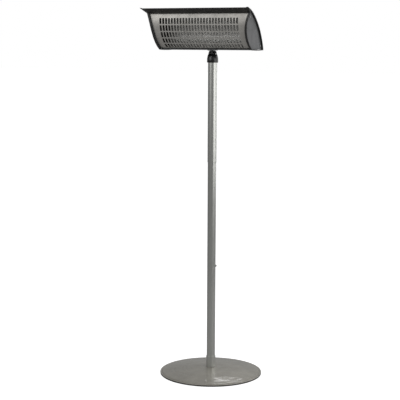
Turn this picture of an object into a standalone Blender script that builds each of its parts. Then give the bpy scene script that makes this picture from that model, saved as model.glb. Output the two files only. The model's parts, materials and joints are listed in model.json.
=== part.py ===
"""Free-standing electric infrared heater: round base, three-length pole, tilting lamp head.

Metres, +Z up. The origin is the centre of the base on the floor, and the head faces -Y.
Side-view outlines are written as (forward, height) pairs, where forward is the distance from
the pole's axis towards -Y.
"""

import math

import bmesh
import bpy
from mathutils import Matrix, Vector

GAP = 0.0003                  # clearance left between pieces that touch

# Base
BASE_RADIUS = 0.275
BASE_RIM_HEIGHT = 0.0120      # top of the rim above the floor
BASE_CENTRE_HEIGHT = 0.0370   # top of the dome, where the pole stands
RIM_LIP_WIDTH = 0.0120        # flat ring around the dome
COVER_THICKNESS = 0.0015
COVER_HOLE_RADIUS = 0.0212
DOME_STEPS = 4                # steps of the dome's profile from the hole to its edge
FOOT_HEIGHT = 0.0040
FOOT_RADIUS = 0.0160
FOOT_RING_RADIUS = 0.2250
UNDER_PLATE_RADIUS = 0.2660
UNDER_PLATE_THICKNESS = 0.0012
WEIGHT_RADIUS = 0.2320
WEIGHT_THICKNESS = 0.0100
BOLT_RADIUS = 0.0060
BOLT_HEAD_RADIUS = 0.0105
BOLT_HEAD_HEIGHT = 0.0045
NUT_HEIGHT = 0.0100
FLANGE_RADIUS = 0.0420
FLANGE_THICKNESS = 0.0040
SPIGOT_TOP = 0.1350
SPIGOT_WALL = 0.0020

# Pole
TUBE_RADIUS = 0.0225          # lower and middle tubes
UPPER_TUBE_RADIUS = 0.0240
TUBE_WALL = 0.0015
LOWER_SEAM = 0.5840           # heights of the joints between the tubes
UPPER_SEAM = 1.1560
POLE_TOP = 1.7060
SLEEVE_LENGTH = 0.1600
COLLAR_RADIUS = 0.0255
COLLAR_HEIGHT = 0.0600
JOINT_SCREW_TURN = 25.0       # degrees from +X towards +Y
SCREW_HOLE_RADIUS = 0.0028    # clearance hole of the 5 mm screws
SCREW_SHANK_RADIUS = 0.0025

# Cap on the pole and the tilt joint
CAP_BOTTOM = 1.6840
CAP_RADIUS = 0.0295
CAP_TOP_RADIUS = 0.0187
CAP_PLUG_BOTTOM = 1.6740      # plug inside the tube
CAP_SCREW_HEIGHT = 1.6950
EAR_INNER_FACE = 0.0145       # floor of the recesses for the pivot bolt's head and nut
RECESS_RADIUS = 0.0082
PIVOT_HEIGHT = 1.7290
EAR_RADIUS = 0.0160           # rounding of the ears about the pivot
LUG_THICKNESS = 0.0120
LUG_RADIUS = 0.0125
LUG_BASE = (0.0340, 0.0620, 0.0030)
WASHER_THICKNESS = 0.0010
PIVOT_BOLT_RADIUS = 0.0040
LUG_BOLT_SPACING = 0.0450

# Head
HEAD_BOTTOM = 1.7503
END_HALF_WIDTH = 0.2616       # half width of the head at the bottom
END_FLARE = 3.99              # the ends flare outwards with the cube of the height
TIP = (0.2358, 1.9648)        # front tip of an end plate
VISOR_ROOT_HEIGHT = 1.9385    # where the visor's underside meets the curved front
FRONT_ARC_CENTRE = (0.0116, 1.9022)
FRONT_ARC_RADIUS = 0.1714
FRONT_ARC_END = -62.4
END_SAG = 0.0020              # the ends' lower edges bow down below the bottom plate
SAG_STEPS = 4
FRONT_STEPS = 12
TIP_EDGE = 0.0340             # straight stretch of the outline behind the tip
HOOD_RADIUS = 0.4730
HOOD_START = 99.6             # angle of the tip seen from the hood arc's centre
HOOD_TURN = 126.0             # angle where the tighter rear arc takes over
REAR_RADIUS = 0.2270
HOOD_END = 165.2
SHEET = 0.0012
TRIM_WIDTH = 0.0050
TRIM_DEPTH = 0.0120
TRIM_PROUD = 0.0085
END_CLEARANCE = 0.0046        # from the end surface to the ends of the sheets between

# Front grille
SLOT_COLUMNS = 27
SLOT_ROWS = 5
SLOT_PITCH = 0.0169
SLOT_WIDTH = 0.0115
GRILLE_RADIUS = 0.1614
GRILLE_TOP_ANGLE = 12.0
SLOT_TOP_ANGLE = 4.1
SLOT_BOTTOM_ANGLE = -59.2
GRILLE_BOTTOM_ANGLE = -62.5
SLOT_BAR_ANGLE = 2.3          # bar between two rows, as an angle of the arc

# Lamps and the space around them
WALL_POSITION = 0.2275
WALL_THICKNESS = 0.0012
REFLECTOR_POINTS = ((0.1560, 1.9240), (0.0520, 1.8450), (0.0780, 1.7640))
UPPER_LAMP = (0.1300, 1.8930)
LOWER_LAMP = (0.0900, 1.8000)
LAMP_RADIUS = 0.0055
LAMP_BORE = 0.0043
LAMP_HALF_LENGTH = 0.2440
FILAMENT_RADIUS = 0.0020
END_SCREWS = ((0.1520, 1.9180), (-0.0250, 1.7740))
GLAND_PLACE = (-0.0060, 1.8010)
SWITCH_PLACE = (0.0350, 1.7850)
SWITCH_ANGLE = 8.0            # lean of the rocker in its off position

ROUND = 32                    # sides of the pole's pieces
BASE_ROUND = 56               # sides of the base
SMALL_ROUND = 20


def srgb(red, green, blue):
    """Linear colour from 0-255 sRGB values."""
    def linear(value):
        value /= 255.0
        if value <= 0.04045:
            return value / 12.92
        return ((value + 0.055) / 1.055) ** 2.4
    return linear(red), linear(green), linear(blue)


def material(name, colour, roughness, metallic):
    """Principled material in one colour."""
    mat = bpy.data.materials.new(name)
    mat.use_nodes = True
    shader = mat.node_tree.nodes["Principled BSDF"]
    shader.inputs["Base Color"].default_value = (*colour, 1.0)
    shader.inputs["Roughness"].default_value = roughness
    shader.inputs["Metallic"].default_value = metallic
    mat.diffuse_color = (*colour, 1.0)
    return mat


def clear_scene():
    """Remove whatever the file holds at the start."""
    for obj in list(bpy.data.objects):
        bpy.data.objects.remove(obj, do_unlink=True)


clear_scene()
parts = bpy.data.collections.new("outdoor_heater")
cutters = bpy.data.collections.new("cutters")
bpy.context.scene.collection.children.link(parts)
bpy.context.scene.collection.children.link(cutters)

FINISH = {
    "base_paint": (srgb(140, 137, 130), 0.42, 0.6),
    "cast_iron": (srgb(70, 70, 70), 0.8, 0.5),
    "steel": (srgb(150, 150, 150), 0.35, 1.0),
    "rubber": (srgb(28, 28, 28), 0.9, 0.0),
    "pole_paint": (srgb(150, 150, 146), 0.35, 0.7),
    "black_plastic": (srgb(24, 24, 25), 0.3, 0.0),
    "hood_paint": (srgb(52, 51, 50), 0.45, 0.4),
    "visor_paint": (srgb(40, 38, 36), 0.5, 0.3),
    "end_paint": (srgb(98, 99, 99), 0.45, 0.5),
    "trim_paint": (srgb(45, 45, 44), 0.5, 0.2),
    "grille_paint": (srgb(142, 139, 134), 0.4, 0.6),
    "mirror_aluminium": (srgb(215, 215, 213), 0.12, 1.0),
    "dark_steel": (srgb(40, 39, 38), 0.6, 0.6),
    "quartz": (srgb(225, 225, 220), 0.05, 0.0),
    "tungsten": (srgb(120, 110, 100), 0.4, 1.0),
    "ceramic": (srgb(225, 220, 208), 0.6, 0.0),
    "nylon": (srgb(210, 208, 200), 0.5, 0.0),
}


def add(obj, finish, smooth_angle=35.0):
    """Link a part, give it its own material and shade its round faces smooth."""
    parts.objects.link(obj)
    colour, roughness, metallic = FINISH[finish]
    obj.data.materials.clear()
    obj.data.materials.append(material(obj.name, colour, roughness, metallic))
    if obj.type == "MESH":
        obj.data.shade_smooth()
        obj.data.set_sharp_from_angle(angle=math.radians(smooth_angle))
    return obj


def mesh_object(name, vertices, faces):
    """Object from listed vertices and faces, not yet linked."""
    mesh = bpy.data.meshes.new(name)
    mesh.from_pydata([tuple(v) for v in vertices], [], faces)
    mesh.update()
    return bpy.data.objects.new(name, mesh)


def bmesh_object(name, bm):
    """Object that takes a finished bmesh, not yet linked."""
    mesh = bpy.data.meshes.new(name)
    bm.to_mesh(mesh)
    bm.free()
    return bpy.data.objects.new(name, mesh)


def at(side, forward, height):
    """World place from sideways, forward and height distances."""
    return Vector((side, -forward, height))


def solidify(obj, thickness, offset=-1.0):
    """Give an open surface a thickness, inwards by default."""
    shell = obj.modifiers.new("thickness", "SOLIDIFY")
    shell.thickness = thickness
    shell.offset = offset
    shell.use_even_offset = True
    return obj


def thickened(name, vertices, faces, shift):
    """Closed solid between a surface and its copy moved by one shift."""
    count = len(vertices)
    moved = [Vector(vertex) + Vector(shift) for vertex in vertices]
    edges = {(face[i - 1], face[i]) for face in faces for i in range(len(face))}
    walls = [(b, a, a + count, b + count) for a, b in sorted(edges) if (b, a) not in edges]
    backs = [tuple(index + count for index in reversed(face)) for face in faces]
    return mesh_object(name, list(vertices) + moved, list(faces) + backs + walls)


def bevel(obj, width, segments=2, angle=40.0):
    """Round the sharp edges of a box-like piece."""
    edge = obj.modifiers.new("rounding", "BEVEL")
    edge.width = width
    edge.segments = segments
    edge.limit_method = "ANGLE"
    edge.angle_limit = math.radians(angle)
    return obj


def boolean(obj, tool, operation):
    """Boolean with a tool that stays in the file as a hidden wire object."""
    cutters.objects.link(tool)
    tool.hide_render = True
    tool.display_type = "WIRE"
    modifier = obj.modifiers.new(tool.name, "BOOLEAN")
    modifier.operation = operation
    modifier.solver = "EXACT"
    modifier.object = tool
    return obj


def cut(obj, tool):
    """Subtract a tool."""
    return boolean(obj, tool, "DIFFERENCE")


def unite(obj, tool):
    """Join another shape into a piece."""
    return boolean(obj, tool, "UNION")


def turned(name, profile, steps=ROUND, place=(0.0, 0.0, 0.0), closed=True):
    """Turned piece from (radius, height) points that run down the outer side."""
    count = len(profile)
    mesh = bpy.data.meshes.new(name)
    edges = [(i, i + 1) for i in range(count - 1)]
    if closed:
        edges.append((count - 1, 0))
    mesh.from_pydata([(r, 0.0, z) for r, z in profile], edges, [])
    obj = bpy.data.objects.new(name, mesh)
    obj.location = place
    screw = obj.modifiers.new("turn", "SCREW")
    screw.axis = "Z"
    screw.angle = math.tau
    screw.steps = steps
    screw.render_steps = steps
    screw.use_merge_vertices = True
    screw.merge_threshold = 0.00001
    screw.use_smooth_shade = True
    return obj


def ring(name, outer, inner, low, high, steps=ROUND, place=(0.0, 0.0, 0.0)):
    """Plain tube or washer about a vertical axis."""
    return turned(name, [(outer, high), (outer, low), (inner, low), (inner, high)], steps, place)


def rod(name, radius, start, end, steps=SMALL_ROUND):
    """Cylinder between two points."""
    start = Vector(start)
    along = Vector(end) - start
    bm = bmesh.new()
    bmesh.ops.create_cone(bm, cap_ends=True, segments=steps, radius1=radius, radius2=radius,
                          depth=along.length)
    turn = Vector((0.0, 0.0, 1.0)).rotation_difference(along).to_matrix().to_4x4()
    bmesh.ops.transform(bm, matrix=Matrix.Translation(start + along / 2.0) @ turn,
                        verts=bm.verts)
    return bmesh_object(name, bm)


def box(name, centre, size, turn_x=0.0):
    """Box at a centre, turned about the X axis by an angle in degrees."""
    bm = bmesh.new()
    bmesh.ops.create_cube(bm, size=1.0)
    scale = Matrix.Diagonal((*size, 1.0))
    turn = Matrix.Rotation(math.radians(turn_x), 4, "X")
    bmesh.ops.transform(bm, matrix=Matrix.Translation(Vector(centre)) @ turn @ scale,
                        verts=bm.verts)
    return bmesh_object(name, bm)


def axis_turn(direction):
    """Matrix that takes the vertical axis of a turned piece to a direction."""
    return Vector((0.0, 0.0, 1.0)).rotation_difference(Vector(direction))


def bolt(name, place, direction, head, shank, steps=6, top_round=0.0):
    """Bolt or screw: (radius, height) of its head above place, and of its shank below it."""
    head_radius, head_height = head
    shank_radius, shank_length = shank
    bm = bmesh.new()
    bmesh.ops.create_cone(bm, cap_ends=True, segments=steps, radius1=head_radius,
                          radius2=head_radius - top_round, depth=head_height,
                          matrix=Matrix.Translation((0.0, 0.0, head_height / 2.0)))
    head_object = bmesh_object(name, bm)
    sink = head_height / 2.0
    bm = bmesh.new()
    bmesh.ops.create_cone(bm, cap_ends=True, segments=12, radius1=shank_radius,
                          radius2=shank_radius, depth=shank_length + sink,
                          matrix=Matrix.Translation((0.0, 0.0, (sink - shank_length) / 2.0)))
    shank_object = bmesh_object(name + "_shank", bm)
    unite(head_object, shank_object)
    for obj in (head_object, shank_object):
        obj.rotation_mode = "QUATERNION"
        obj.rotation_quaternion = axis_turn(direction)
        obj.location = place
    return head_object


# ---------------------------------------------------------------- outlines of the head


def arc(centre, radius, start, end, steps):
    """Points on an arc, angles in degrees from forward towards up."""
    points = []
    for i in range(steps + 1):
        angle = math.radians(start + (end - start) * i / steps)
        points.append((centre[0] + radius * math.cos(angle),
                       centre[1] + radius * math.sin(angle)))
    return points


def head_half_width(height):
    """Half width of the head: its ends flare outwards towards the top."""
    return END_HALF_WIDTH + END_FLARE * (height - HEAD_BOTTOM) ** 3


def sheet_end(height):
    """Where the sheets that run between the end plates stop."""
    return head_half_width(height) - END_CLEARANCE


def hood_arcs(inset=0.0, start=HOOD_START, top_steps=10, rear_steps=6):
    """Top and rear line of the hood, from the front edge to the bottom."""
    start_angle = math.radians(HOOD_START)
    centre = (TIP[0] - HOOD_RADIUS * math.cos(start_angle),
              TIP[1] - HOOD_RADIUS * math.sin(start_angle))
    turn = math.radians(HOOD_TURN)
    rear_centre = (centre[0] + (HOOD_RADIUS - REAR_RADIUS) * math.cos(turn),
                   centre[1] + (HOOD_RADIUS - REAR_RADIUS) * math.sin(turn))
    top = arc(centre, HOOD_RADIUS - inset, start, HOOD_TURN, top_steps)
    rear = arc(rear_centre, REAR_RADIUS - inset, HOOD_TURN, HOOD_END, rear_steps)
    return top + rear[1:]


def front_arc(radius, start, end, steps):
    """Line of the curved front, from the top down."""
    return arc(FRONT_ARC_CENTRE, radius, start, end, steps)


def end_outline():
    """Closed outline of an end plate: tip, visor root, front, bottom, rear, top."""
    root_angle = math.degrees(math.asin((VISOR_ROOT_HEIGHT - FRONT_ARC_CENTRE[1])
                                        / FRONT_ARC_RADIUS))
    front = front_arc(FRONT_ARC_RADIUS, root_angle, FRONT_ARC_END, FRONT_STEPS)
    back = [TIP] + [p for p in hood_arcs(0.0, HOOD_START, 12) if math.dist(p, TIP) > TIP_EDGE]
    back[-1] = (back[-1][0], front[-1][1])
    bottom = []
    for step in range(1, SAG_STEPS):
        share = step / SAG_STEPS
        forward = front[-1][0] + share * (back[-1][0] - front[-1][0])
        bottom.append((forward, front[-1][1] - 4.0 * END_SAG * share * (1.0 - share)))
    return [TIP] + front + bottom + back[:0:-1]


def offset_outline(outline, distance):
    """Closed outline moved inwards, with mitred corners."""
    moved = []
    count = len(outline)
    for i in range(count):
        before = Vector(outline[i]) - Vector(outline[i - 1])
        after = Vector(outline[(i + 1) % count]) - Vector(outline[i])
        before.normalize()
        after.normalize()
        inward_a = Vector((before[1], -before[0]))
        inward_b = Vector((after[1], -after[0]))
        mitre = (inward_a + inward_b).normalized()
        reach = distance / mitre.dot(inward_a)
        moved.append((outline[i][0] + mitre[0] * reach, outline[i][1] + mitre[1] * reach))
    return moved


def crossing(points, height):
    """Forward distance of a top-to-bottom line at a height."""
    for upper, lower in zip(points, points[1:]):
        if upper[1] >= height >= lower[1] and upper[1] > lower[1]:
            share = (upper[1] - height) / (upper[1] - lower[1])
            return upper[0] + share * (lower[0] - upper[0])
    return points[-1][0] if height < points[-1][1] else points[0][0]


def slab(name, front, back, side, thickness, end_surface):
    """Plate across the head's section, between a front and a back line, bent with the end."""
    heights = sorted({round(p[1], 6) for p in front + back}, reverse=True)
    heights = [h for h in heights
               if max(front[-1][1], back[-1][1]) <= h <= min(front[0][1], back[0][1])]
    kept = [heights[0]]
    for height in heights[1:]:
        if kept[-1] - height > 0.0005:
            kept.append(height)
    vertices = []
    faces = []
    previous = None
    for height in kept:
        ends = [crossing(back, height), crossing(front, height)]
        if ends[1] - ends[0] < 0.0002:
            ends = [sum(ends) / 2.0]
        row = []
        for forward in ends:
            row.append(len(vertices))
            vertices.append(at(side * end_surface(height), forward, height))
        if previous is not None:
            if len(previous) == 1:
                faces.append((previous[0], row[0], row[1]))
            elif len(row) == 1:
                faces.append((previous[0], row[0], previous[1]))
            else:
                faces.append((previous[0], row[0], row[1], previous[1]))
        previous = row
    if side > 0:
        faces = [tuple(reversed(face)) for face in faces]
    return thickened(name, vertices, faces, (-side * thickness, 0.0, 0.0))


def bent_sheet(name, profile, thickness, half_width=sheet_end, outward=1):
    """Sheet that runs across the head along a side-view line."""
    vertices = []
    faces = []
    for forward, height in profile:
        reach = half_width(height)
        vertices.append(at(-reach, forward, height))
        vertices.append(at(reach, forward, height))
    for i in range(len(profile) - 1):
        face = (2 * i, 2 * i + 1, 2 * i + 3, 2 * i + 2)
        faces.append(face if outward > 0 else tuple(reversed(face)))
    return solidify(mesh_object(name, vertices, faces), thickness)


def along_lamps(share):
    """Point on the line through the lamps, 0 at the upper lamp and 1 at the lower."""
    return (UPPER_LAMP[0] + share * (LOWER_LAMP[0] - UPPER_LAMP[0]),
            UPPER_LAMP[1] + share * (LOWER_LAMP[1] - UPPER_LAMP[1]))


LAMP_PLACES = {"upper": along_lamps(0.0), "middle": along_lamps(0.5), "lower": along_lamps(1.0)}


# ---------------------------------------------------------------- base


def dome_height(radius):
    """Height of the dome's top surface."""
    rise = BASE_CENTRE_HEIGHT - BASE_RIM_HEIGHT - 0.0015
    span = BASE_RADIUS - RIM_LIP_WIDTH
    return BASE_CENTRE_HEIGHT - rise * (radius / span) ** 2


def base_cover():
    """Pressed cover: thin rim, narrow flat lip, shallow dome with a hole for the spigot."""
    dome_edge = BASE_RADIUS - RIM_LIP_WIDTH
    outer = []
    for i in range(DOME_STEPS + 1):
        radius = COVER_HOLE_RADIUS + (dome_edge - COVER_HOLE_RADIUS) * i / DOME_STEPS
        outer.append((radius, dome_height(radius)))
    outer += [(dome_edge + 0.0020, BASE_RIM_HEIGHT + 0.0002),
              (BASE_RADIUS - 0.0030, BASE_RIM_HEIGHT),
              (BASE_RADIUS - 0.0009, BASE_RIM_HEIGHT - 0.0009),
              (BASE_RADIUS, BASE_RIM_HEIGHT - 0.0030),
              (BASE_RADIUS, 0.0025)]
    inner = [(BASE_RADIUS - COVER_THICKNESS, 0.0025),
             (BASE_RADIUS - COVER_THICKNESS, BASE_RIM_HEIGHT - 0.0030)]
    for radius, height in outer[-4:-6:-1]:
        inner.append((radius, height - COVER_THICKNESS))
    for radius, height in outer[DOME_STEPS::-1]:
        inner.append((radius, height - COVER_THICKNESS))
    add(turned("base_cover", outer + inner, BASE_ROUND), "base_paint")


def base_inside():
    """Weight, under plate, feet and the bolted spigot that holds the pole."""
    plate_low = FOOT_HEIGHT + GAP
    plate_high = plate_low + UNDER_PLATE_THICKNESS
    add(ring("base_under_plate", UNDER_PLATE_RADIUS, 0.0200, plate_low, plate_high,
             BASE_ROUND), "steel")
    for number in range(4):
        angle = math.radians(90.0 * number)
        place = (FOOT_RING_RADIUS * math.cos(angle), FOOT_RING_RADIUS * math.sin(angle), 0.0)
        foot = turned("rubber_foot_%d" % (number + 1),
                      [(0.0, FOOT_HEIGHT), (FOOT_RADIUS, FOOT_HEIGHT),
                       (FOOT_RADIUS, 0.0012), (FOOT_RADIUS - 0.0012, 0.0), (0.0, 0.0)],
                      24, place, closed=False)
        add(foot, "rubber")

    low = plate_high + GAP
    high = low + WEIGHT_THICKNESS
    recess = low + BOLT_HEAD_HEIGHT + 2.0 * GAP
    weight = turned("base_weight",
                    [(WEIGHT_RADIUS, high), (WEIGHT_RADIUS, low), (0.0150, low),
                     (0.0150, recess), (BOLT_RADIUS + GAP, recess), (BOLT_RADIUS + GAP, high)],
                    BASE_ROUND)
    add(weight, "cast_iron")

    flange_low = high + GAP
    flange_high = flange_low + FLANGE_THICKNESS
    spigot_radius = TUBE_RADIUS - TUBE_WALL - 0.0004
    spigot_bore = spigot_radius - SPIGOT_WALL
    spigot = turned("pole_flange",
                    [(spigot_radius, SPIGOT_TOP), (spigot_radius, flange_high),
                     (FLANGE_RADIUS, flange_high), (FLANGE_RADIUS, flange_low),
                     (BOLT_RADIUS + GAP, flange_low), (BOLT_RADIUS + GAP, flange_high),
                     (spigot_bore, flange_high), (spigot_bore, SPIGOT_TOP)])
    add(spigot, "steel")

    washer_high = flange_high + GAP + 0.0020
    add(ring("base_washer", 0.0130, BOLT_RADIUS + GAP, flange_high + GAP, washer_high, 24),
        "steel")
    nut_low = washer_high + GAP
    nut = rod("base_nut", BOLT_HEAD_RADIUS, (0.0, 0.0, nut_low),
              (0.0, 0.0, nut_low + NUT_HEIGHT), 6)
    cut(nut, rod("base_nut_bore", BOLT_RADIUS + GAP, (0.0, 0.0, nut_low - 0.01),
                 (0.0, 0.0, nut_low + 0.02), 20))
    add(nut, "steel")
    head_top = recess - GAP
    shank_length = nut_low + NUT_HEIGHT + 0.0030 - head_top
    add(bolt("base_bolt", (0.0, 0.0, head_top), (0.0, 0.0, -1.0),
             (BOLT_HEAD_RADIUS, BOLT_HEAD_HEIGHT), (BOLT_RADIUS, shank_length)), "steel")


# ---------------------------------------------------------------- pole


def radial(angle, radius, height):
    """Point at an angle in degrees around the pole."""
    turn = math.radians(angle)
    return Vector((radius * math.cos(turn), radius * math.sin(turn), height))


def screw_hole(name, angle, height, radius):
    """Cutter for a radial hole through one side of the pole."""
    return rod(name, SCREW_HOLE_RADIUS, radial(angle, radius * 0.4, height),
               radial(angle, radius * 1.6, height), 12)


def pole():
    """Three tubes, the sleeves that join them, their screws and the foot collar."""
    bottom = BASE_CENTRE_HEIGHT + GAP
    lower = ring("lower_tube", TUBE_RADIUS, TUBE_RADIUS - TUBE_WALL, bottom, LOWER_SEAM - GAP)
    middle = ring("middle_tube", TUBE_RADIUS, TUBE_RADIUS - TUBE_WALL, LOWER_SEAM + GAP,
                  UPPER_SEAM - GAP)
    upper = ring("upper_tube", UPPER_TUBE_RADIUS, UPPER_TUBE_RADIUS - TUBE_WALL,
                 UPPER_SEAM + GAP, POLE_TOP)
    collar_low = BASE_CENTRE_HEIGHT + GAP
    collar = turned("pole_collar",
                    [(COLLAR_RADIUS - 0.0010, collar_low + COLLAR_HEIGHT),
                     (COLLAR_RADIUS, collar_low + COLLAR_HEIGHT - 0.0010),
                     (COLLAR_RADIUS, collar_low), (TUBE_RADIUS + GAP, collar_low),
                     (TUBE_RADIUS + GAP, collar_low + COLLAR_HEIGHT)])
    narrow = TUBE_RADIUS - TUBE_WALL - GAP
    wide = UPPER_TUBE_RADIUS - TUBE_WALL - GAP
    inner = narrow - 0.0020
    half = SLEEVE_LENGTH / 2.0
    lower_sleeve = ring("lower_joint_sleeve", narrow, inner, LOWER_SEAM - half,
                        LOWER_SEAM + half)
    step = UPPER_SEAM + 2.0 * GAP
    upper_sleeve = turned("upper_joint_sleeve",
                          [(wide, UPPER_SEAM + half), (wide, step), (narrow, step),
                           (narrow, UPPER_SEAM - half), (inner, UPPER_SEAM - half),
                           (inner, UPPER_SEAM + half)])

    lower_screw_height = LOWER_SEAM + 0.0110
    upper_screw_height = UPPER_SEAM + 0.0200
    for obj, height, turn in ((middle, lower_screw_height, JOINT_SCREW_TURN),
                              (lower_sleeve, lower_screw_height, JOINT_SCREW_TURN),
                              (upper, upper_screw_height, 90.0),
                              (upper_sleeve, upper_screw_height, 90.0)):
        cut(obj, screw_hole(obj.name + "_screw_hole", turn, height, TUBE_RADIUS))
    cut(upper, screw_hole("upper_tube_cap_hole", 90.0, CAP_SCREW_HEIGHT, TUBE_RADIUS))

    for obj in (lower, middle, upper, collar):
        add(obj, "pole_paint")
    for obj in (lower_sleeve, upper_sleeve):
        add(obj, "steel")
    for name, height, turn, radius, head in (
            ("lower_joint_screw", lower_screw_height, JOINT_SCREW_TURN, TUBE_RADIUS, 0.0060),
            ("upper_joint_screw", upper_screw_height, 90.0, UPPER_TUBE_RADIUS, 0.0030)):
        place = radial(turn, radius + GAP, height)
        screw = bolt(name, place, radial(turn, 1.0, 0.0), (0.0062, head),
                     (SCREW_SHANK_RADIUS, 0.0075), 16, 0.0015)
        add(screw, "steel")


# ---------------------------------------------------------------- cap and tilt joint


def pole_cap():
    """Tapered cap over the pole's top, with two ears for the tilt joint."""
    bore = UPPER_TUBE_RADIUS + GAP
    plug = UPPER_TUBE_RADIUS - TUBE_WALL - GAP
    seat = POLE_TOP + GAP
    top = PIVOT_HEIGHT + EAR_RADIUS
    cap = turned("pole_cap",
                 [(0.0, top), (CAP_TOP_RADIUS, top), (0.0230, 1.7290), (0.0267, 1.7185),
                  (0.0288, 1.7080), (CAP_RADIUS, 1.6990), (CAP_RADIUS, CAP_BOTTOM + 0.0010),
                  (CAP_RADIUS - 0.0010, CAP_BOTTOM), (bore, CAP_BOTTOM), (bore, seat),
                  (plug, seat), (plug, CAP_PLUG_BOTTOM), (0.0, CAP_PLUG_BOTTOM)],
                 closed=False)
    slot_floor = PIVOT_HEIGHT - LUG_RADIUS - 0.0015
    slot_width = LUG_THICKNESS + 2.0 * (WASHER_THICKNESS + 2.0 * GAP)
    slot = box("cap_slot", (0.0, 0.0, slot_floor + 0.025), (slot_width, 0.080, 0.050))
    cut(cap, slot)
    cut(cap, rod("cap_pivot_hole", PIVOT_BOLT_RADIUS + GAP, (-0.04, 0.0, PIVOT_HEIGHT),
                 (0.04, 0.0, PIVOT_HEIGHT), 24))
    for name, side in (("cap_head_recess", -1.0), ("cap_nut_recess", 1.0)):
        cut(cap, rod(name, RECESS_RADIUS, (side * EAR_INNER_FACE, 0.0, PIVOT_HEIGHT),
                     (side * 0.0400, 0.0, PIVOT_HEIGHT), 24))
    rounding = ring("cap_ear_rounding", 0.060, EAR_RADIUS, -0.060, 0.060, 48)
    rounding.rotation_euler = (0.0, math.radians(90.0), 0.0)
    rounding.location = (0.0, 0.0, PIVOT_HEIGHT)
    upper_half = box("cap_ear_half", (0.0, 0.0, PIVOT_HEIGHT + 0.0610), (0.150, 0.150, 0.120))
    boolean(rounding, upper_half, "INTERSECT")
    cut(cap, rounding)
    cut(cap, screw_hole("cap_screw_hole", 90.0, CAP_SCREW_HEIGHT, CAP_RADIUS))
    add(cap, "black_plastic")
    add(bolt("cap_screw", (0.0, CAP_RADIUS + GAP, CAP_SCREW_HEIGHT), (0.0, 1.0, 0.0),
             (0.0050, 0.0028), (SCREW_SHANK_RADIUS, 0.0110), 16, 0.0012), "steel")


def tilt_lug():
    """Lug bolted under the head, which turns between the cap's ears."""
    width, length, thickness = LUG_BASE
    base_top = HEAD_BOTTOM - GAP
    base_low = base_top - thickness
    bm = bmesh.new()
    bmesh.ops.create_cone(bm, cap_ends=True, segments=32, radius1=LUG_RADIUS,
                          radius2=LUG_RADIUS, depth=LUG_THICKNESS,
                          matrix=Matrix.Translation((0.0, 0.0, PIVOT_HEIGHT))
                          @ Matrix.Rotation(math.radians(90.0), 4, "Y"))
    lug = bmesh_object("tilt_lug", bm)
    neck = box("lug_neck", (0.0, 0.0, (PIVOT_HEIGHT + base_low) / 2.0 + 0.0005),
               (LUG_THICKNESS, 2.0 * LUG_RADIUS, base_low - PIVOT_HEIGHT + 0.0010))
    foot = box("lug_foot", (0.0, 0.0, (base_low + base_top) / 2.0), (width, length, thickness))
    unite(lug, neck)
    unite(lug, foot)
    cut(lug, rod("lug_bore", PIVOT_BOLT_RADIUS + GAP, (-0.03, 0.0, PIVOT_HEIGHT),
                 (0.03, 0.0, PIVOT_HEIGHT), 24))
    for name, side in (("lug_bolt_front", -1.0), ("lug_bolt_rear", 1.0)):
        place = Vector((0.0, side * LUG_BOLT_SPACING / 2.0, base_low - GAP))
        cut(lug, rod(name + "_hole", SCREW_HOLE_RADIUS, place - Vector((0.0, 0.0, 0.01)),
                     place + Vector((0.0, 0.0, 0.02)), 16))
        add(bolt(name, place, (0.0, 0.0, -1.0), (0.0045, 0.0020), (SCREW_SHANK_RADIUS, 0.0085)),
            "steel")
    add(lug, "black_plastic")

    reach = LUG_THICKNESS / 2.0 + GAP
    for name, side in (("friction_washer_left", -1.0), ("friction_washer_right", 1.0)):
        washer = ring(name, 0.0110, PIVOT_BOLT_RADIUS + GAP, 0.0, WASHER_THICKNESS, 24)
        washer.rotation_euler = (0.0, math.radians(90.0 * side), 0.0)
        washer.location = (side * reach, 0.0, PIVOT_HEIGHT)
        add(washer, "nylon")
    seat = EAR_INNER_FACE + GAP
    add(bolt("pivot_bolt", (-seat, 0.0, PIVOT_HEIGHT), (-1.0, 0.0, 0.0),
             (0.0070, 0.0040), (PIVOT_BOLT_RADIUS, 0.0345)), "steel")
    nut = rod("pivot_nut", 0.0075, (seat, 0.0, PIVOT_HEIGHT), (0.0190, 0.0, PIVOT_HEIGHT), 6)
    cut(nut, rod("pivot_nut_bore", PIVOT_BOLT_RADIUS + GAP, (0.010, 0.0, PIVOT_HEIGHT),
                 (0.030, 0.0, PIVOT_HEIGHT), 20))
    add(nut, "steel")


# ---------------------------------------------------------------- head


def hood_and_visor():
    """Bent hood, the lip under its front edge, and the bottom plate."""
    add(bent_sheet("hood_shell", hood_arcs(-0.0006, HOOD_START + 1.0, 12, 6), SHEET),
        "hood_paint")
    lip = [(0.2235, 1.9610), (0.2235, 1.9583), (0.1818, 1.9378), (0.1520, 1.9378)]
    add(bent_sheet("visor_lip", lip, SHEET, outward=-1), "visor_paint")
    corner = front_arc(FRONT_ARC_RADIUS, FRONT_ARC_END, FRONT_ARC_END, 1)[0][0]
    rear = hood_arcs()[-1][0]
    floor_line = [(corner - 0.0017, HEAD_BOTTOM + 0.0062), (corner - 0.0003, HEAD_BOTTOM + 0.0030),
                  (corner - 0.0017, HEAD_BOTTOM), (rear + 0.0015, HEAD_BOTTOM)]
    bottom = bent_sheet("bottom_plate", floor_line, 0.0015, outward=-1)
    for name, side in (("bottom_front_hole", -1.0), ("bottom_rear_hole", 1.0)):
        forward = side * LUG_BOLT_SPACING / 2.0
        cut(bottom, rod(name, SCREW_HOLE_RADIUS, (0.0, forward, HEAD_BOTTOM - 0.01),
                        (0.0, forward, HEAD_BOTTOM + 0.01), 16))
    add(bottom, "hood_paint")


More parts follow.
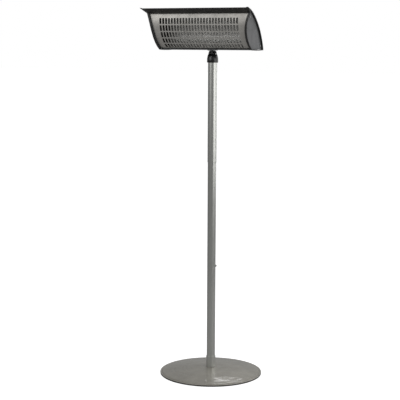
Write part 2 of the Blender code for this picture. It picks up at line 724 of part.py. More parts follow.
def end_pieces():
    """Flared end plates, the raised trims around them, and their screws."""
    outline = end_outline()
    inner = offset_outline(outline, TRIM_WIDTH)
    plate_line = offset_outline(outline, TRIM_WIDTH + 2.0 * GAP)
    lowest = 1 + FRONT_STEPS + SAG_STEPS // 2
    front = plate_line[:lowest + 1]
    back = [plate_line[0]] + plate_line[:lowest - 1:-1]
    count = len(outline)
    for name, side in (("left", -1.0), ("right", 1.0)):
        vertices = []
        for forward, height in outline + inner:
            reach = head_half_width(height) + TRIM_PROUD
            vertices.append(at(side * reach, forward, height))
        faces = []
        for i in range(count):
            after = (i + 1) % count
            face = (i, after, count + after, count + i)
            faces.append(face if side > 0 else tuple(reversed(face)))
        trim = thickened("end_trim_" + name, vertices, faces, (-side * TRIM_DEPTH, 0.0, 0.0))
        add(trim, "trim_paint")

        plate = slab("end_plate_" + name, front, back, side, 0.0020, head_half_width)
        for number, (forward, height) in enumerate(END_SCREWS, 1):
            screw_name = "end_screw_%s_%d" % (name, number)
            cut(plate, rod(screw_name + "_hole", 0.0023, at(side * 0.24, forward, height),
                           at(side * 0.32, forward, height), 16))
            slope = 3.0 * END_FLARE * (height - HEAD_BOTTOM) ** 2
            lift = 0.0042 * slope + GAP
            start = head_half_width(height) + lift
            screw = bolt(screw_name, at(side * start, forward, height), (side, 0.0, 0.0),
                         (0.0040, 0.0022), (0.0020, start - WALL_POSITION), 16, 0.0010)
            add(screw, "steel")
        if side < 0:
            cut(plate, rod("gland_hole", 0.0083, at(-0.24, *GLAND_PLACE),
                           at(-0.30, *GLAND_PLACE), 24))
            cut(plate, box("switch_hole", at(-0.2650, *SWITCH_PLACE), (0.04, 0.0136, 0.0196)))
        add(plate, "end_paint")


def grille_rows():
    """Angles of the grille's horizontal lines, from the top border to the bottom one."""
    pitch = (SLOT_TOP_ANGLE - SLOT_BOTTOM_ANGLE + SLOT_BAR_ANGLE) / SLOT_ROWS
    angles = [GRILLE_TOP_ANGLE]
    for row in range(SLOT_ROWS):
        top = SLOT_TOP_ANGLE - row * pitch
        angles += [top, top - pitch + SLOT_BAR_ANGLE]
    return angles + [GRILLE_BOTTOM_ANGLE]


def front_grille():
    """Curved front panel with rows of upright slots inside a plain border."""
    half_field = (SLOT_COLUMNS * SLOT_PITCH - (SLOT_PITCH - SLOT_WIDTH)) / 2.0
    columns = []
    for column in range(SLOT_COLUMNS):
        left = -half_field + column * SLOT_PITCH
        columns += [left, left + SLOT_WIDTH]
    angles = grille_rows()
    vertices = []
    for angle in angles:
        forward, height = front_arc(GRILLE_RADIUS, angle, angle, 1)[0]
        reach = sheet_end(height)
        for side in [-reach] + columns + [reach]:
            vertices.append(at(side, forward, height))
    across = len(columns) + 2
    faces = []
    for row in range(len(angles) - 1):
        for column in range(across - 1):
            if row % 2 == 1 and column % 2 == 1:
                continue
            first = row * across + column
            faces.append((first, first + across, first + across + 1, first + 1))
    add(solidify(mesh_object("front_grille", vertices, faces), SHEET), "grille_paint")


def circle_through(a, b, c):
    """Centre and radius of the circle through three points."""
    d = 2.0 * (a[0] * (b[1] - c[1]) + b[0] * (c[1] - a[1]) + c[0] * (a[1] - b[1]))
    squares = [p[0] ** 2 + p[1] ** 2 for p in (a, b, c)]
    x = (squares[0] * (b[1] - c[1]) + squares[1] * (c[1] - a[1]) + squares[2] * (a[1] - b[1])) / d
    y = (squares[0] * (c[0] - b[0]) + squares[1] * (a[0] - c[0]) + squares[2] * (b[0] - a[0])) / d
    return (x, y), math.hypot(a[0] - x, a[1] - y)


def reflector():
    """Round trough behind the lamps."""
    top, middle, bottom = REFLECTOR_POINTS
    centre, radius = circle_through(top, middle, bottom)
    angles = []
    for point in (top, bottom):
        angles.append(math.degrees(math.atan2(point[1] - centre[1], point[0] - centre[0])) % 360)
    line = arc(centre, radius, angles[0], angles[1], 14)
    trough = bent_sheet("reflector", line, 0.0008,
                        lambda height: WALL_POSITION - 0.0006)
    add(trough, "mirror_aluminium")


def side_walls():
    """Flat walls that carry the reflector, with holes for the lamps."""
    front = front_arc(GRILLE_RADIUS - 0.0030, GRILLE_TOP_ANGLE - 0.6, GRILLE_BOTTOM_ANGLE + 1.0, 10)
    floor_height = HEAD_BOTTOM + 0.0030
    front = [(0.1500, front[0][1] + 0.0003)] + front
    front.append((front[-1][0] - 0.0060, floor_height))
    back = hood_arcs(0.0040, HOOD_START + 12.0, 8, 5)
    back.append((back[-1][0], floor_height))
    top_height = front[0][1]
    back = [p for p in back if p[1] < top_height - 0.0005]
    back = [(front[0][0] - 0.0010, top_height)] + back
    for name, side in (("left", -1.0), ("right", 1.0)):
        wall = slab("side_wall_" + name, front, back, side, WALL_THICKNESS,
                    lambda height: WALL_POSITION + WALL_THICKNESS)
        for lamp, place in LAMP_PLACES.items():
            cut(wall, rod("wall_hole_%s_%s" % (name, lamp), LAMP_RADIUS + 0.0008,
                          at(side * 0.20, *place), at(side * 0.26, *place), 16))
        for number, place in enumerate(END_SCREWS, 1):
            cut(wall, rod("wall_screw_hole_%s_%d" % (name, number), 0.0023,
                          at(side * 0.20, *place), at(side * 0.26, *place), 12))
        add(wall, "dark_steel")


def lamps():
    """Three quartz tubes with their filaments, held by a ceramic carrier at each end."""
    for name, place in LAMP_PLACES.items():
        tube = ring("lamp_tube_" + name, LAMP_RADIUS, LAMP_BORE, -LAMP_HALF_LENGTH,
                    LAMP_HALF_LENGTH, 16, at(0.0, *place))
        tube.rotation_euler = (0.0, math.radians(90.0), 0.0)
        add(tube, "quartz")
        filament = rod("filament_" + name, FILAMENT_RADIUS, at(-LAMP_HALF_LENGTH + 0.004, *place),
                       at(LAMP_HALF_LENGTH - 0.004, *place), 10)
        add(filament, "tungsten")
    middle = LAMP_PLACES["middle"]
    lean = math.degrees(math.atan2(UPPER_LAMP[0] - LOWER_LAMP[0], UPPER_LAMP[1] - LOWER_LAMP[1]))
    length = math.dist(UPPER_LAMP, LOWER_LAMP) + 0.0260
    inner_face = WALL_POSITION + WALL_THICKNESS + GAP
    for name, side in (("left", -1.0), ("right", 1.0)):
        depth = 0.0190
        carrier = box("lamp_carrier_" + name, at(side * (inner_face + depth / 2.0), *middle),
                      (depth, 0.0220, length), lean)
        for lamp, place in LAMP_PLACES.items():
            cut(carrier, rod("socket_%s_%s" % (name, lamp), LAMP_RADIUS + GAP,
                             at(side * (inner_face - 0.01), *place),
                             at(side * (LAMP_HALF_LENGTH + GAP), *place), 16))
        add(carrier, "ceramic")


def electrical():
    """Terminal block, safety switches, cable gland and rocker switch in the end bays."""
    outside = WALL_POSITION + WALL_THICKNESS + GAP
    block = box("terminal_block", at(-(outside + 0.0060), 0.0440, 1.8400), (0.012, 0.018, 0.042))
    add(bevel(block, 0.0010), "ceramic")
    tip = box("tip_over_switch", at(outside + 0.0090, 0.0150, 1.7850), (0.018, 0.026, 0.026))
    add(bevel(tip, 0.0015), "black_plastic")
    cutout = turned("thermal_cutout", [(0.0, 0.0090), (0.0060, 0.0090), (0.0060, 0.0050),
                                       (0.0085, 0.0050), (0.0085, 0.0), (0.0, 0.0)],
                    20, at(outside, 0.0340, 1.8380), closed=False)
    cutout.rotation_euler = (0.0, math.radians(90.0), 0.0)
    add(cutout, "black_plastic")

    face = head_half_width(GLAND_PLACE[1])
    gland = turned("cable_gland",
                   [(0.0062, 0.0230), (0.0085, 0.0205), (0.0100, 0.0150), (0.0100, 0.0065),
                    (0.0115, 0.0060), (0.0115, 0.0012), (0.0079, 0.0012), (0.0079, -0.0120),
                    (0.0040, -0.0120), (0.0040, 0.0230)], 24, at(-face, *GLAND_PLACE))
    gland.rotation_euler = (0.0, math.radians(-90.0), 0.0)
    add(gland, "black_plastic")
    nut = rod("gland_nut", 0.0120, at(-(face - 0.0034), *GLAND_PLACE),
              at(-(face - 0.0080), *GLAND_PLACE), 6)
    cut(nut, rod("gland_nut_bore", 0.0079 + GAP, at(-(face + 0.01), *GLAND_PLACE),
                 at(-(face - 0.02), *GLAND_PLACE), 24))
    add(nut, "black_plastic")

    face = head_half_width(SWITCH_PLACE[1]) + 0.0006
    centre = at(-face, *SWITCH_PLACE)
    flange = box("switch_housing", centre + Vector((-0.0010, 0.0, 0.0)), (0.0020, 0.0170, 0.0240))
    body = box("switch_body", centre + Vector((0.0073, 0.0, 0.0)), (0.0156, 0.0130, 0.0190))
    unite(flange, body)
    cut(flange, box("switch_pocket", centre + Vector((0.0010, 0.0, 0.0)),
                    (0.0180, 0.0116, 0.0164)))
    add(flange, "black_plastic")
    half = 0.0073
    section = [(half, 0.0030), (half, -0.0010), (0.0030, -0.0050), (-0.0030, -0.0050),
               (-half, -0.0010), (-half, 0.0030), (0.0, 0.0018)]
    bm = bmesh.new()
    loops = []
    for side in (-0.0055, 0.0055):
        loops.append([bm.verts.new((-out, side, up)) for up, out in section])
    count = len(section)
    for i in range(count):
        after = (i + 1) % count
        bm.faces.new((loops[0][i], loops[0][after], loops[1][after], loops[1][i]))
    bm.faces.new(loops[0][::-1])
    bm.faces.new(loops[1])
    bmesh.ops.recalc_face_normals(bm, faces=bm.faces)
    rocker = bmesh_object("switch_rocker", bm)
    rocker.location = centre
    rocker.rotation_euler = (0.0, math.radians(SWITCH_ANGLE), 0.0)
    add(rocker, "black_plastic")


base_cover()
base_inside()
pole()
pole_cap()
tilt_lug()
hood_and_visor()
end_pieces()
front_grille()
reflector()
side_walls()
lamps()
electrical()
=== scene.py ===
"""Looks of the free-standing infrared heater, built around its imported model.

Metres, +Z up, the head faces -Y. Side-view outlines are (forward, height) pairs, where forward
is the distance from the pole's axis towards -Y.
"""

import json
import math

import bmesh
import bpy
from mathutils import Matrix, Vector


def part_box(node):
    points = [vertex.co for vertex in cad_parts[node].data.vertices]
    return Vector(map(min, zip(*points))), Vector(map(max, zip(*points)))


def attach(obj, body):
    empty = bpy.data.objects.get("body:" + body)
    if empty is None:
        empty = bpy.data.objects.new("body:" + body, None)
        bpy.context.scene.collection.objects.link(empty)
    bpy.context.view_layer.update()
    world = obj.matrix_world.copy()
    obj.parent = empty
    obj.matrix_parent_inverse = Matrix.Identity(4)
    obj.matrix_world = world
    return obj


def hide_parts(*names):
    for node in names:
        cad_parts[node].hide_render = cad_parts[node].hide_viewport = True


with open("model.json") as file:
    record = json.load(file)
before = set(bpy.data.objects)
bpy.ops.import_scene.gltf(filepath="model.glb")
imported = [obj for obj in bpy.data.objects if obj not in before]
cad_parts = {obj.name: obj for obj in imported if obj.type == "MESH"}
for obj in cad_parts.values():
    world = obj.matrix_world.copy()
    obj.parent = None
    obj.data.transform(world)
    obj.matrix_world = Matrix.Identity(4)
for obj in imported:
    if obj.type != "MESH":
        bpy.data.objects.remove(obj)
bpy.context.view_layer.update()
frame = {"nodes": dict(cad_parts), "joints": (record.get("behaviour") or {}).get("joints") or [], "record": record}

ROUND = 128                    # sides of the large turned pieces
SMALL_ROUND = 48
GAP = 0.0003                   # clearance between neighbouring pieces
REACH = 0.050                  # how far cutting tools run past a piece
OVERLAP = 0.0010               # how far joined shapes run into each other

# Base
RIM_HEIGHT = 0.0120
LIP_WIDTH = 0.0120             # ring between the dome and the outside
DOME_EDGE = 0.0015             # height of the dome's edge above the rim
DOME_STEPS = 30
COVER_HOLE = 0.0212
COVER_THICKNESS = 0.0015
COVER_ROUND = 192
GROOVE = ((0.0006, 0.0006), (0.0020, 0.0016), (0.0036, 0.0012), (0.0048, 0.0002),
          (0.0060, 0.0))       # outwards from the dome, down from the rim's top
RIM_ROLL = 0.0024              # radius of the rolled edge
RIM_INSIDE = ((0.0015, 0.0026), (0.0034, 0.0015))    # inwards, down from the rim's top
RIM_FOOT = ((0.0, 0.0006), (0.0004, 0.0))            # inwards, up from the rim's lower edge
FOOT_CHAMFER = 0.0004
FOOT_SOLE = ((0.0, 0.0014), (0.0004, 0.0005), (0.0014, 0.0), (0.0040, 0.0), (0.0044, 0.0008),
             (0.0052, 0.0008), (0.0056, 0.0))        # inwards, up from the ground
DIMPLE_RADII = (0.0035, 0.0030)
DIMPLE_DEPTH = 0.0015

# Pole
TUBE_WALL = 0.0015
TUBE_ROUND = 0.0005
COLLAR_BORE = 0.0228
COLLAR_ROUND = 0.0008

# Cross-head screws, as shares of the head's radius and height
SCREW_RIM = 0.35
CROSS_LENGTH = 1.15
CROSS_WIDTH = 0.26
CROSS_FLOOR = 0.38

# Pole cap
CAP_TOP_RADIUS = 0.0187
CAP_TAPER = ((0.0230, 1.7290), (0.0267, 1.7185), (0.0288, 1.7080))    # radius, height
CAP_SHOULDER = 1.6990          # height where the taper ends
CAP_SKIRT = 1.6840             # height of the lower edge
CAP_SKIRT_ROUND = ((0.0, 0.0022), (0.0003, 0.0012), (0.0009, 0.0004), (0.0018, 0.0))  # inwards, up
CAP_PLUG_STEP = 0.0021         # the plug in the tube is this much narrower than the skirt's bore
CAP_SCREW_HEIGHT = 1.6950
LUG_SLOT = 0.0152              # width of the slot between the ears

# Tilt joint
PIVOT_HEIGHT = frame["joints"][0]["pos_m"][2]
PIN_BORE = 0.0043
RECESS_RADIUS = 0.0082         # recesses for the pivot's bolt head and nut
RECESS_FLOOR = 0.0145
LUG_RADIUS = 0.0125
LUG_THICKNESS = 0.0120
LUG_FOOT = 0.0030
LUG_CLEARANCE = 0.0015         # room under the lug's round
LUG_BOLT_PLACE = 0.0225        # distance of the lug's bolts from the pole's axis
BOLT_HOLE = 0.0028
LUG_BOLT_HEAD = 0.0020
PIVOT_BOLT_HEAD = 0.0040
EAR_RADIUS = 0.0160
WASHER_RADIUS = 0.0110

# Head section
HEAD_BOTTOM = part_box("bottom_plate")[0].z
END_HALF_WIDTH = 0.2616        # half width of the head at the bottom
END_FLARE = 3.99               # the ends flare outwards with the cube of the height
TIP = (-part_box("end_trim_right")[0].y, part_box("end_trim_right")[1].z)
VISOR_ROOT_HEIGHT = 1.9385
FRONT_CENTRE = (0.0116, 1.9022)
FRONT_RADIUS = 0.1714
FRONT_END = -62.4
FRONT_STEPS = 60
END_SAG = 0.0020               # the ends' lower edges bow down below the bottom plate
SAG_STEPS = 16
TIP_EDGE = 0.0340              # straight stretch of the outline behind the tip
HOOD_RADIUS = 0.4730
HOOD_START = 99.6
HOOD_TURN = 126.0
REAR_RADIUS = 0.2270
HOOD_END = 165.2
HOOD_INSET = 0.0006            # the hood lies this much inside the ends' outline
SHEET = 0.0012
SHEET_STEPS = 24               # faces across the head
LIP_LINE = ((0.2235, 1.9610), (0.2235, 1.9583), (0.1818, 1.9378), (0.1520, 1.9378))
LIP_FOLD = 0.0030
BOTTOM_SHEET = 0.0015
BOTTOM_LIP = ((-0.0017, 0.0062), (-0.0003, 0.0030), (-0.0017, 0.0))  # from the front corner
TRIM_WIDTH = 0.0050
TRIM_DEPTH = 0.0120
TRIM_PROUD = 0.0085
TRIM_ROUND = 0.0016
END_CLEARANCE = 0.0038         # the sheets end this much inside the head's half width
END_SHEET = 0.0020
END_RECESS = 0.0008            # the end plates' edge lies this much inside the half width
END_CROWN = 0.0010
CROWN_SLOPE = 0.0040           # width of the step inside the end plates' edge
END_ROWS = 72
END_COLUMNS = 28
END_SCREW_HEAD = 0.0022
END_SCREW_HOLE = 0.0023

# Grille
GRILLE_RADIUS = 0.1614
SLOT_COLUMNS = 27
SLOT_ROWS = 5
SLOT_PITCH = 0.0169
SLOT_WIDTH = 0.0115
SLOT_CORNER = 0.0030
CORNER_STEPS = 4
BORDER_STEPS = 6
SIDE_STEPS = 4                 # faces along a slot's straight side, and in the top border
GRILLE_TOP = 12.0              # angles on the front arc, from forward towards up
SLOT_TOP = 4.1
SLOT_BOTTOM = -59.2
GRILLE_BOTTOM = -62.5
SLOT_BAR = 2.3

# Inside the head
REFLECTOR_LINE = ((0.1560, 1.9240), (0.0520, 1.8450), (0.0780, 1.7640))
REFLECTOR_SHEET = 0.0008
LAMP_WALL = 0.0012
LAMP_ROUND = 0.0004
COIL_RADIUS = 0.0018
COIL_WIRE = 0.00022
COIL_TURNS = 180
TURN_STEPS = 10
SUPPORTS = 9
SUPPORT_SPREAD = 4.6           # the outermost supports stand 4 / 4.6 of the half length out
SUPPORT_RADII = (0.0040, 0.0024)
SUPPORT_HALF = 0.0002

# Gland and switch on the left end
GLAND_SHANK = 0.0120
GLAND_LINE = ((0.0062, 0.0230), (0.0085, 0.0205), (0.0096, 0.0150), (0.0096, 0.0065),
              (0.0115, 0.0060), (0.0115, 0.0012), (0.0079, 0.0012), (0.0079, -GLAND_SHANK),
              (0.0040, -GLAND_SHANK), (0.0040, 0.0230))    # radius, height over the end plate
GLAND_RIBS = 16
RIB_PLACE = 0.0095
GLAND_HOLE = 0.0083
BEZEL_HEIGHT = 0.0020
SWITCH_HOLE = (0.04, 0.0136, 0.0196)

# Camera, on a circle around the pole
CAMERA_TURN = 26.0             # degrees from -Y towards +X
CAMERA_DISTANCE = 6.200
CAMERA_HEIGHT = 1.7862
CAMERA_DOWN = 7.661
CAMERA_PAN = -0.582
CAMERA_ROLL = 0.274
LENS = 105.06


# ---- materials


def srgb(red, green, blue):
    """Linear colour from 0-255 sRGB values."""
    def linear(value):
        value /= 255.0
        if value <= 0.04045:
            return value / 12.92
        return ((value + 0.055) / 1.055) ** 2.4
    return linear(red), linear(green), linear(blue), 1.0


def scaled(colour, factor):
    """Colour made lighter or darker."""
    return tuple(min(1.0, channel * factor) for channel in colour[:3]) + (1.0,)


class Look:
    """Principled material with helpers for its procedural nodes."""

    def __init__(self, name):
        self.material = bpy.data.materials.new(name)
        self.material.use_nodes = True
        self.nodes = self.material.node_tree.nodes
        self.links = self.material.node_tree.links
        self.shader = self.nodes["Principled BSDF"]
        self.place = self.nodes.new("ShaderNodeTexCoord").outputs["Object"]

    def feed(self, node, inputs):
        """Outputs of a node whose inputs, by name or number, get a socket or a plain value."""
        for key, value in inputs.items():
            if isinstance(value, bpy.types.NodeSocket):
                self.links.new(value, node.inputs[key])
            else:
                node.inputs[key].default_value = value
        return node.outputs

    def set(self, **values):
        """Inputs of the shader, as sockets or as numbers for the whole surface."""
        self.feed(self.shader, {name.replace("_", " "): value for name, value in values.items()})

    def add(self, kind, inputs):
        """Outputs of a new node."""
        return self.feed(self.nodes.new(kind), inputs)

    def vector(self, operation, *inputs):
        """Outputs of a new node that calculates with vectors."""
        node = self.nodes.new("ShaderNodeVectorMath")
        node.operation = operation
        return self.feed(node, dict(enumerate(inputs)))

    def noise(self, scale, detail, stretch=(1.0, 1.0, 1.0), distortion=0.0):
        """Cloudy value; scale is in features per metre along an unstretched axis."""
        place = self.add("ShaderNodeMapping", {"Scale": stretch, "Vector": self.place})["Vector"]
        return self.add("ShaderNodeTexNoise", {"Vector": place, "Scale": scale, "Detail": detail,
                                               "Roughness": 0.55, "Distortion": distortion})["Fac"]

    def ramp(self, value, low, high, first, last):
        """Colour or grey that changes from first to last between two values."""
        node = self.nodes.new("ShaderNodeValToRGB")
        for stop, position, shade in zip(node.color_ramp.elements, (low, high), (first, last)):
            stop.position = position
            stop.color = shade if isinstance(shade, tuple) else (shade, shade, shade, 1.0)
        return self.feed(node, {"Fac": value})["Color"]

    def cloud(self, first, last, scale, detail, stretch=(1.0, 1.0, 1.0), low=0.3, high=0.7):
        """Noise as a colour or grey between first and last."""
        return self.ramp(self.noise(scale, detail, stretch), low, high, first, last)

    def mix(self, share, first, second, mode="MIX"):
        """Blend of two colours."""
        node = self.nodes.new("ShaderNodeMix")
        node.data_type = "RGBA"
        node.blend_type = mode
        return self.feed(node, {0: share, 6: first, 7: second})[2]

    def times(self, first, second):
        """Product of two colours."""
        return self.mix(1.0, first, second, "MULTIPLY")

    def edges(self):
        """1 along outer edges and corners, 0 elsewhere."""
        geometry = self.nodes.new("ShaderNodeNewGeometry")
        return self.ramp(geometry.outputs["Pointiness"], 0.515, 0.56, 0.0, 1.0)

    def span(self, value, low, high):
        """Value rescaled to 0 at low and 1 at high."""
        return self.add("ShaderNodeMapRange",
                        {"Value": value, "From Min": low, "From Max": high})["Result"]

    def outwards(self):
        """Vector from the pole's axis to the surface point."""
        return self.vector("MULTIPLY", self.place, (1.0, 1.0, 0.0))["Vector"]

    def radius(self):
        """Distance from the pole's axis."""
        return self.vector("LENGTH", self.outwards())["Value"]

    def rings(self, scale, squeeze, detail):
        """Noise drawn out around the pole; it changes squeeze times faster along the radius."""
        way = self.vector("NORMALIZE", self.outwards())["Vector"]
        turn = self.vector("MULTIPLY", way, (0.25, 0.25, 0.0))["Vector"]
        out = self.add("ShaderNodeCombineXYZ", {"Z": self.radius()})["Vector"]
        place = self.vector("MULTIPLY_ADD", out, (0.0, 0.0, squeeze), turn)["Vector"]
        return self.add("ShaderNodeTexNoise",
                        {"Vector": place, "Scale": scale, "Detail": detail})["Fac"]

    def bump(self, height, distance, strength=1.0, under=None):
        """Bump layer, on top of another one if there is one."""
        inputs = {"Height": height, "Distance": distance, "Strength": strength}
        if under is not None:
            inputs["Normal"] = under
        return self.add("ShaderNodeBump", inputs)["Normal"]


def paint(name, colour, roughness, metallic, wear=0.35, waves=0.0):
    """Powder coat or metallic lacquer: flakes, cloudy tone, orange peel, bright worn edges."""
    look = Look(name)
    tone = look.times(look.cloud(scaled(colour, 0.90), scaled(colour, 1.10), 7.0, 4.0,
                                 low=0.35, high=0.65),
                      look.cloud(0.90, 1.10, 2600.0, 1.0, low=0.45, high=0.62))
    scuff = look.times(look.edges(), look.cloud(0.0, wear, 60.0, 5.0, low=0.48, high=0.62))
    normal = look.bump(look.noise(700.0, 2.0), 0.00006)
    if waves:
        normal = look.bump(look.noise(14.0, 2.0), waves, 1.0, normal)
    look.set(Base_Color=look.mix(scuff, tone, scaled(colour, 2.2)), Metallic=metallic,
             Roughness=look.cloud(roughness - 0.06, roughness + 0.07, 22.0, 5.0), Normal=normal)
    return look.material


def base_lacquer(name, colour):
    """Metallic lacquer of the base: uneven pressing, scuffs by the rim, and painted shade that darkens the rim's
    side below its roll.
    """
    look = Look(name)
    cloud = look.ramp(look.noise(9.0, 5.0, distortion=0.6), 0.32, 0.68, scaled(colour, 0.90),
                      scaled(colour, 1.10))
    tone = look.times(cloud, look.cloud(0.88, 1.12, 2400.0, 1.0, low=0.42, high=0.62))
    rim = look.span(look.radius(), 0.20, 0.275)
    scuffs = look.cloud(0.0, 0.30, 130.0, 6.0, (1.0, 0.25, 1.0), 0.56, 0.66)
    tone = look.mix(look.times(rim, scuffs), tone, scaled(colour, 1.6))
    height = look.add("ShaderNodeSeparateXYZ", {"Vector": look.place})["Z"]
    # painted shade: the rim's side below its roll is darkened by height, as if it lay in shadow
    painted_rim_shade = look.ramp(look.span(height, 0.0, RIM_HEIGHT), 0.70, 0.90, 0.18, 1.0)
    waves = look.bump(look.rings(7.0, 13.0, 0.7), 0.0011, 0.8)
    look.set(Base_Color=look.times(tone, painted_rim_shade), Metallic=0.45,
             Roughness=look.cloud(0.40, 0.54, 26.0, 6.0),
             Normal=look.bump(look.noise(620.0, 2.0), 0.00005, 1.0, waves),
             Coat_Weight=0.8, Coat_Roughness=0.07, Coat_IOR=1.5, Coat_Normal=waves)
    return look.material


def pole_lacquer(name, colour):
    """Silver lacquer on drawn tube: fine lengthwise lines and a slightly cloudy tone."""
    look = Look(name)
    lines = look.noise(420.0, 3.0, (1.0, 1.0, 0.012))
    tone = look.ramp(lines, 0.3, 0.7, scaled(colour, 0.97), scaled(colour, 1.03))
    tone = look.times(tone, look.cloud(0.98, 1.01, 5.0, 3.0, (1.0, 1.0, 0.5), 0.35, 0.65))
    sparkle = look.cloud(0.97, 1.03, 2600.0, 1.0, low=0.45, high=0.62)
    normal = look.bump(look.noise(800.0, 2.0), 0.00001, 0.4, look.bump(lines, 0.00001, 0.5))
    look.set(Base_Color=look.times(tone, sparkle), Metallic=0.85, Normal=normal,
             Roughness=look.cloud(0.27, 0.31, 35.0, 5.0, (1.0, 1.0, 0.2)),
             Coat_Weight=0.15, Coat_Roughness=0.12)
    return look.material


def plastic(name, colour, roughness):
    """Moulded plastic: fine spark-eroded grain, faint flow marks, rubbed edges."""
    look = Look(name)
    tone = look.cloud(scaled(colour, 0.85), scaled(colour, 1.2), 30.0, 4.0)
    edge = look.times(look.edges(), (0.3, 0.3, 0.3, 1.0))
    look.set(Base_Color=look.mix(edge, tone, scaled(colour, 2.5)), IOR=1.62,
             Roughness=look.cloud(roughness - 0.05, roughness + 0.08, 90.0, 5.0),
             Normal=look.bump(look.noise(1500.0, 2.0), 0.00004))
    return look.material


def metal(name, colour, roughness, stretch=(1.0, 1.0, 1.0), lines=500.0, bump=0.00002,
          tarnish=0.15):
    """Bare metal with brushed or rolled lines along the axis whose stretch is small."""
    look = Look(name)
    grain = look.noise(lines, 3.0, stretch)
    tone = look.ramp(grain, 0.3, 0.7, scaled(colour, 0.88), scaled(colour, 1.08))
    stain = look.cloud(1.0, 1.0 - tarnish, 25.0, 5.0, low=0.40, high=0.68)
    look.set(Base_Color=look.times(tone, stain), Metallic=1.0, Normal=look.bump(grain, bump),
             Roughness=look.cloud(roughness * 0.8, roughness * 1.35, 40.0, 5.0, stretch))
    return look.material


def rough_stone(name, colour, roughness, grain, bump, speck=0.2):
    """Cast iron, ceramic, rubber or nylon: pitted, slightly uneven surface."""
    look = Look(name)
    look.set(Base_Color=look.cloud(scaled(colour, 1.0 - speck), scaled(colour, 1.0 + speck),
                                   grain * 0.2, 5.0, low=0.35, high=0.65),
             Roughness=look.cloud(roughness - 0.08, min(1.0, roughness + 0.1), grain * 0.5, 4.0),
             Normal=look.bump(look.noise(grain, 4.0), bump))
    return look.material


def quartz_glass(name):
    """Clear fused quartz with faint draw lines and a slightly frosted haze."""
    look = Look(name)
    lines = look.noise(700.0, 2.0, (0.01, 1.0, 1.0))
    look.set(Base_Color=(0.96, 0.97, 0.96, 1.0), Transmission_Weight=1.0, IOR=1.46,
             Roughness=look.ramp(lines, 0.3, 0.7, 0.01, 0.08),
             Normal=look.bump(lines, 0.00002, 0.5))
    return look.material


FINISH = {
    "base_paint": base_lacquer("base_paint", srgb(159, 155, 145)),
    "cast_iron": rough_stone("cast_iron", srgb(70, 70, 70), 0.75, 500.0, 0.0004),
    "steel": metal("steel", srgb(178, 178, 176), 0.30, (1.0, 1.0, 0.2)),
    "rubber": rough_stone("rubber", srgb(30, 30, 30), 0.85, 900.0, 0.00010),
    "pole_paint": pole_lacquer("pole_paint", srgb(200, 201, 196)),
    "black_plastic": plastic("black_plastic", srgb(7, 7, 8), 0.27),
    "hood_paint": paint("hood_paint", srgb(66, 65, 63), 0.46, 0.35),
    "visor_paint": paint("visor_paint", srgb(44, 42, 40), 0.50, 0.25),
    "end_paint": paint("end_paint", srgb(80, 81, 82), 0.48, 0.22, waves=0.0010),
    "trim_paint": paint("trim_paint", srgb(46, 46, 45), 0.46, 0.10, wear=0.3),
    "grille_paint": paint("grille_paint", srgb(190, 187, 181), 0.42, 0.40, wear=0.10),
    "mirror_aluminium": metal("mirror_aluminium", srgb(212, 211, 208), 0.50, (0.02, 1.0, 1.0),
                              300.0, 0.00004, 0.10),
    "dark_steel": paint("dark_steel", srgb(60, 58, 55), 0.50, 0.4, wear=0.2),
    "quartz": quartz_glass("quartz"),
    "tungsten": metal("tungsten", srgb(120, 112, 104), 0.4, lines=1500.0),
    "ceramic": rough_stone("ceramic", srgb(222, 216, 202), 0.6, 700.0, 0.00008, 0.06),
    "nylon": rough_stone("nylon", srgb(208, 206, 196), 0.45, 900.0, 0.00004, 0.05),
}


# ---- outlines


def on_arc(centre, radius, angle):
    """Point on an arc, at an angle in degrees from forward towards up."""
    turn = math.radians(angle)
    return centre[0] + radius * math.cos(turn), centre[1] + radius * math.sin(turn)


def arc(centre, radius, start, end, steps):
    """Points on an arc between two angles."""
    return [on_arc(centre, radius, start + (end - start) * i / steps) for i in range(steps + 1)]


def polygon(sides, radius):
    """Corners of a regular polygon."""
    return arc((0.0, 0.0), radius, 0.0, 360.0, sides)[:-1]


def rectangle(width, depth):
    """Corners of a centred rectangle."""
    x, y = width / 2.0, depth / 2.0
    return [(-x, -y), (x, -y), (x, y), (-x, y)]


def rounded(points, radius, steps, closed=True):
    """Outline whose corners are replaced by short curves."""
    result = []
    count = len(points)
    for i, point in enumerate(points):
        corner = Vector(point)
        if not closed and i in (0, count - 1):
            result.append(tuple(corner))
            continue
        before = Vector(points[i - 1]) - corner
        after = Vector(points[(i + 1) % count]) - corner
        reach = min(radius, before.length * 0.45, after.length * 0.45)
        start = corner + before.normalized() * reach
        end = corner + after.normalized() * reach
        for step in range(steps + 1):
            share = step / steps
            blend = (1.0 - share) ** 2, 2.0 * share * (1.0 - share), share ** 2
            result.append(tuple(start * blend[0] + corner * blend[1] + end * blend[2]))
    return result


def smooth_line(points, steps):
    """Smooth curve through points, after the first of them."""
    line = []
    for i in range(len(points) - 1):
        before = Vector(points[max(i - 1, 0)])
        start = Vector(points[i])
        end = Vector(points[i + 1])
        after = Vector(points[min(i + 2, len(points) - 1)])
        for step in range(1, steps + 1):
            t = step / steps
            line.append(0.5 * (2.0 * start + (end - before) * t
                               + (2.0 * before - 5.0 * start + 4.0 * end - after) * t ** 2
                               + (3.0 * start - before - 3.0 * end + after) * t ** 3))
    return line


def offset_outline(outline, distance):
    """Closed outline moved inwards, with mitred corners."""
    moved = []
    count = len(outline)
    for i in range(count):
        before = (Vector(outline[i]) - Vector(outline[i - 1])).normalized()
        after = (Vector(outline[(i + 1) % count]) - Vector(outline[i])).normalized()
        inward = Vector((before.y + after.y, -before.x - after.x)).normalized()
        reach = distance / inward.dot(Vector((before.y, -before.x)))
        moved.append((outline[i][0] + inward.x * reach, outline[i][1] + inward.y * reach))
    return moved


